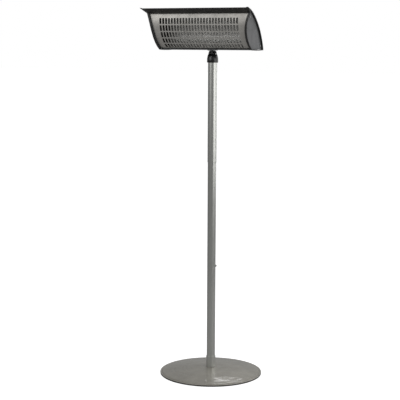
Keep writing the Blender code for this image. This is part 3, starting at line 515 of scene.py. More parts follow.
def offset_line(line, distance):
    """Open line moved to its right-hand side, seen along it."""
    moved = []
    for i, point in enumerate(line):
        along = Vector(line[min(i + 1, len(line) - 1)]) - Vector(line[max(i - 1, 0)])
        along.normalize()
        moved.append((point[0] + along.y * distance, point[1] - along.x * distance))
    return moved


def crossing(points, height):
    """Forward distance of a top-to-bottom line at a height."""
    for upper, lower in zip(points, points[1:]):
        if upper[1] >= height >= lower[1] and upper[1] > lower[1]:
            share = (upper[1] - height) / (upper[1] - lower[1])
            return upper[0] + share * (lower[0] - upper[0])
    return points[-1][0] if height < points[-1][1] else points[0][0]


def circle_through(a, b, c):
    """Centre and radius of the circle through three points."""
    d = 2.0 * (a[0] * (b[1] - c[1]) + b[0] * (c[1] - a[1]) + c[0] * (a[1] - b[1]))
    squares = [p[0] ** 2 + p[1] ** 2 for p in (a, b, c)]
    x = (squares[0] * (b[1] - c[1]) + squares[1] * (c[1] - a[1]) + squares[2] * (a[1] - b[1])) / d
    y = (squares[0] * (c[0] - b[0]) + squares[1] * (a[0] - c[0]) + squares[2] * (b[0] - a[0])) / d
    return (x, y), math.hypot(a[0] - x, a[1] - y)


def tube_profile(outer, inner, low, high, edge, steps=3):
    """Section of a tube with rounded ends, and rings by the rounds that keep its sides straight."""
    hold = 4.0 * edge
    return rounded([(outer, high), (outer, high - hold), (outer, low + hold), (outer, low),
                    (inner, low), (inner, low + hold), (inner, high - hold), (inner, high)],
                   edge, steps)


# ---- meshes


def at(side, forward, height):
    """Frame place from sideways, forward and height distances."""
    return Vector((side, -forward, height))


def sized(node):
    """Low corner, high corner and centre of a node's box."""
    low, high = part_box(node)
    return low, high, (low + high) / 2.0


def linked(name, data):
    """New object in the scene, at the origin."""
    obj = bpy.data.objects.new(name, data)
    bpy.context.scene.collection.objects.link(obj)
    return obj


def mesh_object(name, vertices, faces):
    """Object from computed vertices and faces."""
    mesh = bpy.data.meshes.new(name)
    mesh.from_pydata([tuple(v) for v in vertices], [], faces)
    mesh.update()
    return linked(name, mesh)


def placed(obj, matrix):
    """Move a mesh by its vertices, so that its object stays at the origin."""
    obj.data.transform(matrix)
    obj.data.update()
    return obj


def facing(place, direction):
    """Matrix that takes a piece built along +Z to a place and direction."""
    turn = Vector((0.0, 0.0, 1.0)).rotation_difference(Vector(direction))
    return Matrix.Translation(Vector(place)) @ turn.to_matrix().to_4x4()


def lathe(name, profile, steps=ROUND, closed=True):
    """Turned mesh about Z from (radius, height) points that run down the outer side."""
    vertices = []
    rings = []
    for radius, height in profile:
        if radius < 1e-7:
            rings.append([len(vertices)] * steps)
            vertices.append((0.0, 0.0, height))
        else:
            rings.append(range(len(vertices), len(vertices) + steps))
            vertices += [(x, y, height) for x, y in polygon(steps, radius)]
    pairs = list(zip(rings, rings[1:]))
    if closed:
        pairs.append((rings[-1], rings[0]))
    faces = []
    for upper, lower in pairs:
        for step in range(steps):
            after = (step + 1) % steps
            corners = (upper[step], lower[step], lower[after], upper[after])
            face = tuple(dict.fromkeys(corners))
            if len(face) > 2:
                faces.append(face)
    return mesh_object(name, vertices, faces)


def prism(name, outline, low, high):
    """Upright prism over a counter-clockwise outline."""
    count = len(outline)
    vertices = [(x, y, z) for z in (low, high) for x, y in outline]
    faces = [tuple(range(count - 1, -1, -1)), tuple(range(count, 2 * count))]
    for i in range(count):
        after = (i + 1) % count
        faces.append((i, after, count + after, count + i))
    return mesh_object(name, vertices, faces)


def cylinder(name, radius, start, end, steps=64):
    """Cylinder between two points, used as a cutting tool or a plain pin."""
    along = Vector(end) - Vector(start)
    return placed(prism(name, polygon(steps, radius), 0.0, along.length), facing(start, along))


def cross_pin(name, radius, start, end, steps=64):
    """Cylinder along the pivot's axis, between two sideways distances."""
    return cylinder(name, radius, (start, 0.0, PIVOT_HEIGHT), (end, 0.0, PIVOT_HEIGHT), steps)


def box(name, centre, size):
    """Box used as a tool."""
    shape = prism(name, rectangle(size[0], size[1]), -size[2] / 2.0, size[2] / 2.0)
    return placed(shape, Matrix.Translation(Vector(centre)))


def merged(name, objects):
    """One mesh object from several, which are removed."""
    bm = bmesh.new()
    for obj in objects:
        bm.from_mesh(obj.data)
        bpy.data.objects.remove(obj)
    mesh = bpy.data.meshes.new(name)
    bm.to_mesh(mesh)
    bm.free()
    return linked(name, mesh)


def evaluated_mesh(obj):
    """New mesh of an object as its modifiers leave it."""
    bpy.context.view_layer.update()
    graph = bpy.context.evaluated_depsgraph_get()
    return bpy.data.meshes.new_from_object(obj.evaluated_get(graph))


def applied(obj):
    """Object with its modifiers turned into its mesh."""
    mesh = evaluated_mesh(obj)
    obj.modifiers.clear()
    obj.data = mesh
    return obj


def boolean(obj, tool, operation="DIFFERENCE"):
    """Boolean with a tool that is removed afterwards."""
    modifier = obj.modifiers.new("boolean", "BOOLEAN")
    modifier.operation = operation
    modifier.solver = "EXACT"
    modifier.object = tool
    applied(obj)
    bpy.data.objects.remove(tool)
    return obj


def softened(obj, width):
    """Small round on sharp edges."""
    modifier = obj.modifiers.new("round", "BEVEL")
    modifier.width = width
    modifier.segments = 2
    modifier.limit_method = "ANGLE"
    modifier.angle_limit = math.radians(35.0)
    return applied(obj)


def piece(obj, body, slot, *nodes, sharp=35.0):
    """Give a finished mesh its look and its body, in place of CAD nodes."""
    obj.data.materials.clear()
    obj.data.materials.append(FINISH[slot])
    obj.data.shade_smooth()
    obj.data.set_sharp_from_angle(angle=math.radians(sharp))
    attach(obj, body)
    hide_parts(*nodes)
    return obj


def pan_screw(name, place, direction, radius, height, shank_radius, shank_length):
    """Domed screw with a cross recess and a shank."""
    dome = [(radius * x, height * (SCREW_RIM + (1.0 - SCREW_RIM) * y))
            for x, y in arc((0.0, 0.0), 1.0, 90.0, 0.0, 8)]
    profile = dome + [(radius, 0.0), (shank_radius, 0.0), (shank_radius, -shank_length),
                      (0.0, -shank_length)]
    screw = lathe(name, profile, SMALL_ROUND, closed=False)
    for turn in (0.0, 90.0):
        blade = prism(name + "_blade", rectangle(radius * CROSS_LENGTH, radius * CROSS_WIDTH),
                      height * CROSS_FLOOR, height * 1.5)
        placed(blade, Matrix.Rotation(math.radians(turn), 4, "Z"))
        boolean(screw, blade)
    return placed(screw, facing(place, direction))


def hex_head(name, radius, height):
    """Hexagon whose corners are chamfered on top."""
    head = prism(name, polygon(6, radius), 0.0, height)
    cone = lathe(name + "_cone", [(0.0, height * 1.001), (radius * 0.86, height * 1.001),
                                  (radius * 1.02, height * 0.72), (radius * 1.02, -0.001),
                                  (0.0, -0.001)], SMALL_ROUND, closed=False)
    return boolean(head, cone, "INTERSECT")


def hex_bolt(name, radius, height, shank_radius, length, steps):
    """Hexagon bolt with its head on the origin and its shank below it."""
    shank = cylinder(name + "_shank", shank_radius, (0.0, 0.0, -length), (0.0, 0.0, OVERLAP), steps)
    return boolean(hex_head(name, radius, height), shank, "UNION")


# ---- base


def base_cover():
    """Pressed cover: shallow dome, narrow groove, flat lip and a rolled rim."""
    low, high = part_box("base_cover")
    radius = high.x
    edge = radius - LIP_WIDTH
    rise = high.z - RIM_HEIGHT - DOME_EDGE
    dome = []
    for step in range(DOME_STEPS + 1):
        place = COVER_HOLE + (edge - COVER_HOLE) * step / DOME_STEPS
        dome.append((place, high.z - rise * (place / edge) ** 2))
    groove = [(edge + outwards, RIM_HEIGHT - down) for outwards, down in GROOVE]
    roll = arc((radius - RIM_ROLL, RIM_HEIGHT - RIM_ROLL), RIM_ROLL, 90.0, 0.0, 6)
    foot = [(radius - inwards, low.z + up) for inwards, up in RIM_FOOT]
    inside = [(radius - COVER_THICKNESS, low.z)]
    inside += [(radius - inwards, RIM_HEIGHT - down) for inwards, down in RIM_INSIDE]
    under = [groove[-1], groove[1]] + dome[::-1]
    inside += [(place, height - COVER_THICKNESS) for place, height in under]
    cover = lathe("base_cover_pressing", dome + groove + roll + foot + inside, COVER_ROUND)
    piece(cover, "stand", "base_paint", "base_cover")


def rubber_feet():
    """Moulded feet with a rounded sole, a ring groove and a dimple."""
    for number in range(1, 5):
        node = "rubber_foot_%d" % number
        low, high, centre = sized(node)
        radius = (high.x - low.x) / 2.0
        profile = [(0.0, high.z), (radius - FOOT_CHAMFER, high.z), (radius, high.z - FOOT_CHAMFER)]
        profile += [(radius - inwards, low.z + up) for inwards, up in FOOT_SOLE]
        profile += [(DIMPLE_RADII[0], low.z), (DIMPLE_RADII[1], low.z + DIMPLE_DEPTH),
                    (0.0, low.z + DIMPLE_DEPTH)]
        foot = lathe(node + "_moulding", profile, SMALL_ROUND, closed=False)
        placed(foot, Matrix.Translation((centre.x, centre.y, 0.0)))
        piece(foot, "stand", "rubber", node)


# ---- pole


def pole():
    """Tubes, foot collar and the screws at the joints."""
    for node in ("lower_tube", "middle_tube", "upper_tube"):
        low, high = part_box(node)
        profile = tube_profile(high.x, high.x - TUBE_WALL, low.z, high.z, TUBE_ROUND)
        piece(lathe(node + "_drawn", profile), "stand", "pole_paint", node)
    low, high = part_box("pole_collar")
    profile = tube_profile(high.x, COLLAR_BORE, low.z, high.z, COLLAR_ROUND, 4)
    piece(lathe("pole_collar_turned", profile), "stand", "pole_paint", "pole_collar")
    for node, tube in (("lower_joint_screw", "middle_tube"), ("upper_joint_screw", "upper_tube")):
        low, high, centre = sized(node)
        outward = Vector((centre.x, centre.y, 0.0)).normalized()
        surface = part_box(tube)[1].x + GAP
        top = max(outward.dot(Vector((x, y, 0.0))) for x in (low.x, high.x)
                  for y in (low.y, high.y))
        place = outward * surface + Vector((0.0, 0.0, centre.z))
        screw = pan_screw(node + "_crosshead", place, outward, radius=0.0060,
                          height=min(0.0060, top - surface), shank_radius=0.0024,
                          shank_length=0.0074)
        piece(screw, "stand", "steel", node)


# ---- cap and tilt joint


def pole_cap():
    """Moulded cap with a smooth taper, two rounded ears and bolt recesses."""
    low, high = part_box("pole_cap")
    outer = high.x
    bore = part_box("upper_tube")[1].x + GAP
    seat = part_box("upper_tube")[1].z + GAP
    plug = bore - CAP_PLUG_STEP
    taper = smooth_line([(CAP_TOP_RADIUS, high.z), *CAP_TAPER, (outer, CAP_SHOULDER)], 5)
    profile = [(0.0, high.z), (CAP_TOP_RADIUS, high.z)]
    profile += [(min(point.x, outer), point.y) for point in taper]
    profile += [(outer - inwards, CAP_SKIRT + up) for inwards, up in CAP_SKIRT_ROUND]
    profile += [(bore, CAP_SKIRT), (bore, seat), (plug, seat), (plug, low.z), (0.0, low.z)]
    cap = lathe("pole_cap_moulding", profile, 96, closed=False)
    slot_floor = PIVOT_HEIGHT - LUG_RADIUS - LUG_CLEARANCE
    boolean(cap, box("slot", (0.0, 0.0, slot_floor + REACH / 2.0),
                     (LUG_SLOT, 2.0 * REACH, REACH)))
    boolean(cap, cross_pin("pivot_hole", PIN_BORE, -REACH, REACH))
    for side in (-1.0, 1.0):
        boolean(cap, cross_pin("recess", RECESS_RADIUS, side * RECESS_FLOOR, side * REACH))
    ears = cross_pin("ear_round", EAR_RADIUS, -REACH, REACH, 96)
    below = 2.0 * REACH
    boolean(ears, box("lower_part", (0.0, 0.0, PIVOT_HEIGHT + OVERLAP - below / 2.0),
                      (below, below, below)), "UNION")
    boolean(cap, ears, "INTERSECT")
    boolean(cap, cylinder("screw_hole", BOLT_HOLE, (0.0, 0.015, CAP_SCREW_HEIGHT),
                          (0.0, REACH, CAP_SCREW_HEIGHT)))
    softened(cap, 0.0005)
    piece(cap, "stand", "black_plastic", "pole_cap", sharp=30.0)

    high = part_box("cap_screw")[1]
    screw = pan_screw("cap_screw_crosshead", (0.0, outer + GAP, CAP_SCREW_HEIGHT), (0.0, 1.0, 0.0),
                      radius=0.0049, height=min(0.0028, high.y - outer - GAP),
                      shank_radius=0.0024, shank_length=0.0108)
    piece(screw, "stand", "steel", "cap_screw")


def tilt_lug():
    """Lug under the head with its neck and foot plate, and the bolts through the plate."""
    low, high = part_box("tilt_lug")
    foot = high.z - LUG_FOOT
    neck_top = foot + OVERLAP / 2.0
    lug = cross_pin("tilt_lug_moulding", LUG_RADIUS, -LUG_THICKNESS / 2.0, LUG_THICKNESS / 2.0)
    boolean(lug, box("neck", (0.0, 0.0, (PIVOT_HEIGHT + neck_top) / 2.0),
                     (LUG_THICKNESS, 2.0 * LUG_RADIUS, neck_top - PIVOT_HEIGHT)), "UNION")
    outline = rounded(rectangle(high.x - low.x, high.y - low.y), 0.0060, 6)
    boolean(lug, prism("foot", outline, foot, high.z), "UNION")
    boolean(lug, cross_pin("bore", PIN_BORE, -REACH, REACH))
    for node in ("lug_bolt_front", "lug_bolt_rear"):
        under, _, centre = sized(node)
        boolean(lug, cylinder("hole", BOLT_HOLE, (0.0, centre.y, low.z),
                              (0.0, centre.y, high.z + REACH), 32))
        bolt = hex_bolt(node + "_hex", 0.0045, LUG_BOLT_HEAD, shank_radius=0.0024, length=0.0084,
                        steps=24)
        placed(bolt, facing((0.0, centre.y, under.z + LUG_BOLT_HEAD), (0.0, 0.0, -1.0)))
        piece(bolt, "head", "steel", node)
    softened(lug, 0.0004)
    piece(lug, "head", "black_plastic", "tilt_lug", sharp=30.0)


def pivot():
    """Friction washers, bolt and nut of the pivot."""
    for node, side in (("friction_washer_left", -1.0), ("friction_washer_right", 1.0)):
        low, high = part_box(node)
        thickness = high.x - low.x
        outline = rounded([(WASHER_RADIUS, thickness), (WASHER_RADIUS, 0.0), (PIN_BORE, 0.0),
                           (PIN_BORE, thickness)], 0.0002, 2)
        washer = lathe(node + "_punched", outline, SMALL_ROUND)
        placed(washer, facing((low.x if side > 0 else high.x, 0.0, PIVOT_HEIGHT),
                              (side, 0.0, 0.0)))
        piece(washer, "stand", "nylon", node)
    low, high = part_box("pivot_bolt")
    bolt = hex_bolt("pivot_bolt_hex", 0.0070, PIVOT_BOLT_HEAD, shank_radius=0.0040,
                    length=high.x - low.x - PIVOT_BOLT_HEAD, steps=SMALL_ROUND)
    placed(bolt, facing((low.x + PIVOT_BOLT_HEAD, 0.0, PIVOT_HEIGHT), (-1.0, 0.0, 0.0)))
    piece(bolt, "stand", "steel", "pivot_bolt")
    low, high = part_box("pivot_nut")
    nut = hex_head("pivot_nut_hex", 0.0075, high.x - low.x)
    boolean(nut, cylinder("nut_bore", PIN_BORE, (0.0, 0.0, -0.01), (0.0, 0.0, 0.02), SMALL_ROUND))
    placed(nut, facing((low.x, 0.0, PIVOT_HEIGHT), (1.0, 0.0, 0.0)))
    piece(nut, "stand", "steel", "pivot_nut")


# ---- head shells


def head_half_width(height):
    """Half width of the head at a height."""
    return END_HALF_WIDTH + END_FLARE * (height - HEAD_BOTTOM) ** 3


def sheet_end(height):
    """Where the sheets between the end plates stop."""
    return head_half_width(height) - END_CLEARANCE


def hood_arcs(inset=0.0, start=HOOD_START, top_steps=40, rear_steps=24):
    """Top and rear line of the hood, from the front edge to the bottom."""
    centre = on_arc(TIP, -HOOD_RADIUS, HOOD_START)
    rear_centre = on_arc(centre, HOOD_RADIUS - REAR_RADIUS, HOOD_TURN)
    top = arc(centre, HOOD_RADIUS - inset, start, HOOD_TURN, top_steps)
    return top + arc(rear_centre, REAR_RADIUS - inset, HOOD_TURN, HOOD_END, rear_steps)[1:]


def end_outline():
    """Closed outline of an end: tip, visor root, front, bottom, rear, top."""
    root = math.degrees(math.asin((VISOR_ROOT_HEIGHT - FRONT_CENTRE[1]) / FRONT_RADIUS))
    front = arc(FRONT_CENTRE, FRONT_RADIUS, root, FRONT_END, FRONT_STEPS)
    back = [TIP] + [p for p in hood_arcs() if math.dist(p, TIP) > TIP_EDGE]
    back[-1] = (back[-1][0], front[-1][1])
    bottom = []
    for step in range(1, SAG_STEPS):
        share = step / SAG_STEPS
        forward = front[-1][0] + share * (back[-1][0] - front[-1][0])
        bottom.append((forward, front[-1][1] - 4.0 * END_SAG * share * (1.0 - share)))
    return [TIP] + front + bottom + back[:0:-1]


def bent_sheet(name, line, thickness, reach=sheet_end):
    """Closed sheet that runs across the head; its thickness lies on the line's right side."""
    section = line + offset_line(line, thickness)[::-1]
    count = len(section)
    vertices = []
    for forward, height in section:
        half = reach(height)
        for step in range(SHEET_STEPS + 1):
            vertices.append(at(half * (2.0 * step / SHEET_STEPS - 1.0), forward, height))
    row = SHEET_STEPS + 1
    faces = []
    for i in range(count):
        after = (i + 1) % count
        for step in range(SHEET_STEPS):
            faces.append((i * row + step, after * row + step, after * row + step + 1,
                          i * row + step + 1))
    for i in range(len(line) - 1):
        twin = count - 1 - i
        for step in (0, SHEET_STEPS):
            faces.append((i * row + step, twin * row + step, (twin - 1) * row + step,
                          (i + 1) * row + step))
    obj = mesh_object(name, vertices, faces)
    bm = bmesh.new()
    bm.from_mesh(obj.data)
    bmesh.ops.recalc_face_normals(bm, faces=bm.faces)
    bm.to_mesh(obj.data)
    bm.free()
    return obj


def hood_and_visor():
    """Rolled hood, folded lip under its front edge, and the folded bottom plate."""
    hood_line = hood_arcs(HOOD_INSET, HOOD_START + 1.0, 48, 30)
    piece(bent_sheet("hood_shell_rolled", hood_line, -SHEET), "head", "hood_paint", "hood_shell",
          sharp=50.0)
    lip_line = rounded(LIP_LINE, LIP_FOLD, 6, closed=False)
    piece(bent_sheet("visor_lip_folded", lip_line, SHEET), "head", "visor_paint", "visor_lip",
          sharp=50.0)
    corner = on_arc(FRONT_CENTRE, FRONT_RADIUS, FRONT_END)[0]
    rear = hood_arcs()[-1][0] + BOTTOM_SHEET
    folds = [(corner + forward, HEAD_BOTTOM + up) for forward, up in BOTTOM_LIP]
    floor_line = rounded(folds + [(rear, HEAD_BOTTOM)], BOTTOM_SHEET, 5, closed=False)
    bottom = bent_sheet("bottom_plate_folded", floor_line, BOTTOM_SHEET)
    for place in (-LUG_BOLT_PLACE, LUG_BOLT_PLACE):
        boolean(bottom, cylinder("bolt_hole", BOLT_HOLE, (0.0, place, HEAD_BOTTOM - 0.01),
                                 (0.0, place, HEAD_BOTTOM + 0.01), 32))
    piece(bottom, "head", "end_paint", "bottom_plate", sharp=50.0)


def end_trim(name, side):
    """Rubbery edge trim with a rounded section that follows the end's outline."""
    outline = end_outline()
    inner = TRIM_PROUD - TRIM_DEPTH
    section = rounded([(0.0, inner), (0.0, TRIM_PROUD), (TRIM_WIDTH, TRIM_PROUD),
                       (TRIM_WIDTH, inner)], TRIM_ROUND, 4)
    vertices = []
    for depth, out in section:
        for forward, height in offset_outline(outline, depth):
            vertices.append(at(side * (head_half_width(height) + out), forward, height))
    faces = []
    count = len(outline)
    for j in range(len(section)):
        below = (j + 1) % len(section)
        for i in range(count):
            after = (i + 1) % count
            face = (j * count + i, j * count + after, below * count + after, below * count + i)
            faces.append(face if side > 0 else face[::-1])
    return mesh_object(name, vertices, faces)


def end_plate(name, side):
    """Flared end plate, slightly crowned, with a shallow step inside its edge."""
    line = offset_outline(end_outline(), TRIM_WIDTH + GAP)
    lowest = 1 + FRONT_STEPS + SAG_STEPS // 2
    front = line[:lowest + 1]
    back = [line[0]] + line[:lowest - 1:-1]
    top = line[0][1]
    bottom = front[-1][1]
    vertices = []
    for layer in (0.0, -END_SHEET):
        for row in range(END_ROWS + 1):
            height = top + (bottom - top) * (row / END_ROWS)
            height = min(max(height, bottom + 1e-6), top - 1e-5)
            rear = crossing(back, height)
            fore = crossing(front, height)
            for column in range(END_COLUMNS + 1):
                forward = rear + (fore - rear) * (column / END_COLUMNS)
                margin = min(forward - rear, fore - forward, top - height, height - bottom)
                crown = END_CROWN * min(1.0, margin / CROWN_SLOPE)
                out = head_half_width(height) - END_RECESS + crown + layer
                vertices.append(at(side * out, forward, height))
    row_size = END_COLUMNS + 1
    layer_size = row_size * (END_ROWS + 1)
    faces = []
    for row in range(END_ROWS):
        for column in range(END_COLUMNS):
            a = row * row_size + column
            b = a + layer_size
            faces.append((a, a + 1, a + row_size + 1, a + row_size))
            faces.append((b + row_size, b + row_size + 1, b + 1, b))
    border = list(range(row_size))
    border += [row * row_size + END_COLUMNS for row in range(1, END_ROWS + 1)]
    border += [END_ROWS * row_size + column for column in range(END_COLUMNS - 1, -1, -1)]
    border += [row * row_size for row in range(END_ROWS - 1, 0, -1)]
    for i, a in enumerate(border):
        b = border[(i + 1) % len(border)]
        faces.append((a, a + layer_size, b + layer_size, b))
    if side > 0:
        faces = [face[::-1] for face in faces]
    return mesh_object(name, vertices, faces)


def head_ends():
    """End plates with their holes, trims and screws."""
    for label, side in (("left", -1.0), ("right", 1.0)):
        piece(end_trim("end_trim_%s_moulding" % label, side), "head", "trim_paint",
              "end_trim_" + label, sharp=40.0)
        plate = end_plate("end_plate_%s_pressing" % label, side)
        for number in (1, 2):
            node = "end_screw_%s_%d" % (label, number)
            low, high, centre = sized(node)
            boolean(plate, cylinder("hole", END_SCREW_HOLE, (side * 0.24, centre.y, centre.z),
                                    (side * 0.32, centre.y, centre.z), 24))
            under_head = (high.x if side > 0 else low.x) - side * END_SCREW_HEAD
            screw = pan_screw(node + "_crosshead", (under_head, centre.y, centre.z),
                              (side, 0.0, 0.0), radius=0.0040, height=END_SCREW_HEAD,
                              shank_radius=0.0019, shank_length=high.x - low.x - END_SCREW_HEAD)
            piece(screw, "head", "steel", node)
        if label == "left":
            centre = sized("cable_gland")[2]
            boolean(plate, cylinder("gland_hole", GLAND_HOLE, (-0.24, centre.y, centre.z),
                                    (-0.30, centre.y, centre.z), SMALL_ROUND))
            centre = sized("switch_housing")[2]
            boolean(plate, box("switch_hole", (-0.2650, centre.y, centre.z), SWITCH_HOLE))
        piece(plate, "head", "end_paint", "end_plate_" + label, sharp=40.0)


# ---- grille


def grille_lines():
    """Angles of the grille's level lines, and the top and bottom index of each slot row."""
    pitch = (SLOT_TOP - SLOT_BOTTOM + SLOT_BAR) / SLOT_ROWS
    corner = math.degrees(SLOT_CORNER / GRILLE_RADIUS)
    angles = [GRILLE_TOP + (SLOT_TOP - GRILLE_TOP) * i / SIDE_STEPS for i in range(SIDE_STEPS)]
    rows = []
    for row in range(SLOT_ROWS):
        top = SLOT_TOP - row * pitch
        bottom = top - pitch + SLOT_BAR
        first = len(angles)
        straight = bottom + corner - (top - corner)
        angles += [top, top - corner]
        angles += [top - corner + straight * i / SIDE_STEPS for i in range(1, SIDE_STEPS)]
        angles += [bottom + corner, bottom]
        rows.append((first, len(angles) - 1))
    return angles + [GRILLE_BOTTOM], rows


def front_grille():
    """Punched front panel: rows of upright slots with round corners, on a curved sheet."""
    angles, slot_rows = grille_lines()
    half_field = (SLOT_COLUMNS * SLOT_PITCH - (SLOT_PITCH - SLOT_WIDTH)) / 2.0
    sides = [None] * BORDER_STEPS
    for column in range(SLOT_COLUMNS):
        left = -half_field + column * SLOT_PITCH
        sides += [left, left + SLOT_CORNER, left + SLOT_WIDTH - SLOT_CORNER, left + SLOT_WIDTH]
    past_field = len(sides)
    sides += [None] * BORDER_STEPS
    columns = len(sides)
    vertices = []

    def on_panel(side, angle):
        vertices.append(at(side, *on_arc(FRONT_CENTRE, GRILLE_RADIUS, angle)))
        return len(vertices) - 1

    for angle in angles:
        border = sheet_end(on_arc(FRONT_CENTRE, GRILLE_RADIUS, angle)[1]) - half_field
        for i, side in enumerate(sides):
            if i < BORDER_STEPS:
                side = -(half_field + border * (BORDER_STEPS - i) / BORDER_STEPS)
            elif i >= past_field:
                side = half_field + border * (i - past_field + 1) / BORDER_STEPS
            on_panel(side, angle)

    corner_angle = math.degrees(SLOT_CORNER / GRILLE_RADIUS)

    def corner_fan(row, column, level_first, side_first):
        """Metal between a slot's square corner and its round."""
        level = row if level_first else row + 1
        upright = column if side_first else column + 1
        tip = level * columns + upright
        centre_side = sides[column + 1] if side_first else sides[column]
        centre_angle = angles[row + 1] if level_first else angles[row]
        out = -1.0 if side_first else 1.0
        up = 1.0 if level_first else -1.0
        line = [(row + 1 if level_first else row) * columns + upright]
        for step in range(1, CORNER_STEPS):
            turn = math.radians(90.0 * step / CORNER_STEPS)
            line.append(on_panel(centre_side + out * SLOT_CORNER * math.cos(turn),
                                 centre_angle + up * corner_angle * math.sin(turn)))
        line.append(level * columns + (column + 1 if side_first else column))
        return [(tip, a, b) if level_first == side_first else (tip, b, a)
                for a, b in zip(line, line[1:])]

    slot_levels = {}
    for first, last in slot_rows:
        for row in range(first, last):
            slot_levels[row] = "top" if row == first else "bottom" if row == last - 1 else "side"
    faces = []
    for row in range(len(angles) - 1):
        for column in range(columns - 1):
            place = (column - BORDER_STEPS) % 4
            in_slot = BORDER_STEPS <= column < past_field - 1 and place < 3
            level = slot_levels.get(row) if in_slot else None
            if level is None:
                first = row * columns + column
                faces.append((first, first + columns, first + columns + 1, first + 1))
            elif level != "side" and place != 1:
                faces += corner_fan(row, column, level == "top", place == 0)
    panel = mesh_object("front_grille_punched", vertices, faces)
    shell = panel.modifiers.new("thickness", "SOLIDIFY")
    shell.thickness = SHEET
    shell.offset = -1.0
    shell.use_even_offset = True
    piece(applied(panel), "head", "grille_paint", "front_grille", sharp=40.0)


# ---- inside the head


def reflector():
    """Polished trough behind the lamps."""
    centre, radius = circle_through(*REFLECTOR_LINE)
    start, end = (math.degrees(math.atan2(p[1] - centre[1], p[0] - centre[0])) % 360
                  for p in (REFLECTOR_LINE[0], REFLECTOR_LINE[2]))
    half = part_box("reflector")[1].x
    trough = bent_sheet("reflector_polished", arc(centre, radius, start, end, 56),
                        -REFLECTOR_SHEET, lambda height: half)
    piece(trough, "head", "mirror_aluminium", "reflector", sharp=50.0)


def helix(name, centre, half_length):
    """Coiled wire along X."""
    curve = bpy.data.curves.new(name, "CURVE")
    curve.dimensions = "3D"
    curve.bevel_depth = COIL_WIRE
    curve.bevel_resolution = 0
    curve.use_fill_caps = True
    spline = curve.splines.new("POLY")
    steps = COIL_TURNS * TURN_STEPS
    spline.points.add(steps)
    for i in range(steps + 1):
        angle = math.tau * i / TURN_STEPS
        x = -half_length + 2.0 * half_length * i / steps
        spline.points[i].co = (x, centre.y + COIL_RADIUS * math.cos(angle),
                               centre.z + COIL_RADIUS * math.sin(angle), 1.0)
    coil = linked(name + "_curve", curve)
    mesh = evaluated_mesh(coil)
    bpy.data.objects.remove(coil)
    return linked(name, mesh)


def lamps():
    """Quartz tubes with coiled filaments on support discs."""
    wide, narrow = SUPPORT_RADII
    disc_section = [(wide, SUPPORT_HALF), (wide, -SUPPORT_HALF), (narrow, -SUPPORT_HALF),
                    (narrow, SUPPORT_HALF)]
    for label in ("upper", "middle", "lower"):
        low, high, centre = sized("lamp_tube_" + label)
        outer = (high.z - low.z) / 2.0
        profile = tube_profile(outer, outer - LAMP_WALL, -high.x, high.x, LAMP_ROUND)
        glass = lathe("lamp_tube_%s_quartz" % label, profile, SMALL_ROUND)
        placed(glass, facing(centre, (1.0, 0.0, 0.0)))
        piece(glass, "head", "quartz", "lamp_tube_" + label)
        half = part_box("filament_" + label)[1].x
        wound = [helix("filament_%s_coil" % label, centre, half)]
        for i in range(SUPPORTS):
            x = half * (i - SUPPORTS // 2) / SUPPORT_SPREAD
            disc = lathe("disc", disc_section, 24)
            wound.append(placed(disc, facing((x, centre.y, centre.z), (1.0, 0.0, 0.0))))
        piece(merged("filament_%s_wound" % label, wound), "head", "tungsten", "filament_" + label,
              sharp=60.0)


# ---- gland and switch


def cable_gland():
    """Ribbed cable gland on the left end plate."""
    low, high, centre = sized("cable_gland")
    gland = lathe("cable_gland_moulding", rounded(GLAND_LINE, 0.0008, 3), 96)
    ribs = []
    for i in range(GLAND_RIBS):
        rib = prism("rib", rectangle(0.0007, 0.0012), 0.0068, 0.0180)
        turn = Matrix.Rotation(math.tau * i / GLAND_RIBS, 4, "Z")
        ribs.append(placed(rib, turn @ Matrix.Translation((RIB_PLACE, 0.0, 0.0))))
    boolean(gland, merged("ribs", ribs), "UNION")
    placed(gland, facing((high.x - GLAND_SHANK, centre.y, centre.z), (-1.0, 0.0, 0.0)))
    piece(gland, "head", "black_plastic", "cable_gland", sharp=30.0)


def switch_housing():
    """Housing of the rocker switch: bezel, body and the pocket that the rocker sits in."""
    low, high, centre = sized("switch_housing")
    outline = rounded(rectangle(high.z - low.z, high.y - low.y), 0.0016, 5)
    bezel = prism("switch_housing_bezel", outline, 0.0, BEZEL_HEIGHT)
    boolean(bezel, prism("body", rectangle(0.0190, 0.0130), -0.0151, OVERLAP), "UNION")
    pocket = rounded(rectangle(0.0164, 0.0116), 0.0006, 3)
    boolean(bezel, prism("pocket", pocket, -0.0100, 0.0100))
    softened(bezel, 0.0003)
    placed(bezel, Matrix.Translation((low.x + BEZEL_HEIGHT, centre.y, centre.z))
           @ Matrix.Rotation(math.radians(-90.0), 4, "Y"))
    piece(bezel, "head", "black_plastic", "switch_housing", sharp=30.0)


# ---- what stays from the frame


def carried_over():
    """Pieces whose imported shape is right, with their procedural finish."""
    slots = {row["node"]: row["material_slot"] for row in frame["record"]["subparts"]}
    for name, obj in frame["nodes"].items():
        if obj.hide_render:
            continue
        obj.data.materials.clear()
        obj.data.materials.append(FINISH[slots[name]])
        obj.data.shade_smooth()
        obj.data.set_sharp_from_angle(angle=math.radians(30.0))


# ---- studio


def around(turn, distance, height):
    """Place on a circle around the pole, degrees from the camera's side towards +X."""
    angle = math.radians(CAMERA_TURN + turn)
    return Vector((distance * math.sin(angle), -distance * math.cos(angle), height))


def split_by_camera(tree, others, seen, surface):
    """One shader for what the camera sees directly, another for all other light."""
    path = tree.nodes.new("ShaderNodeLightPath")
    choose = tree.nodes.new("ShaderNodeMixShader")
    tree.links.new(path.outputs["Is Camera Ray"], choose.inputs["Fac"])
    tree.links.new(others, choose.inputs[1])
    tree.links.new(seen, choose.inputs[2])
    tree.links.new(choose.outputs["Shader"], surface)


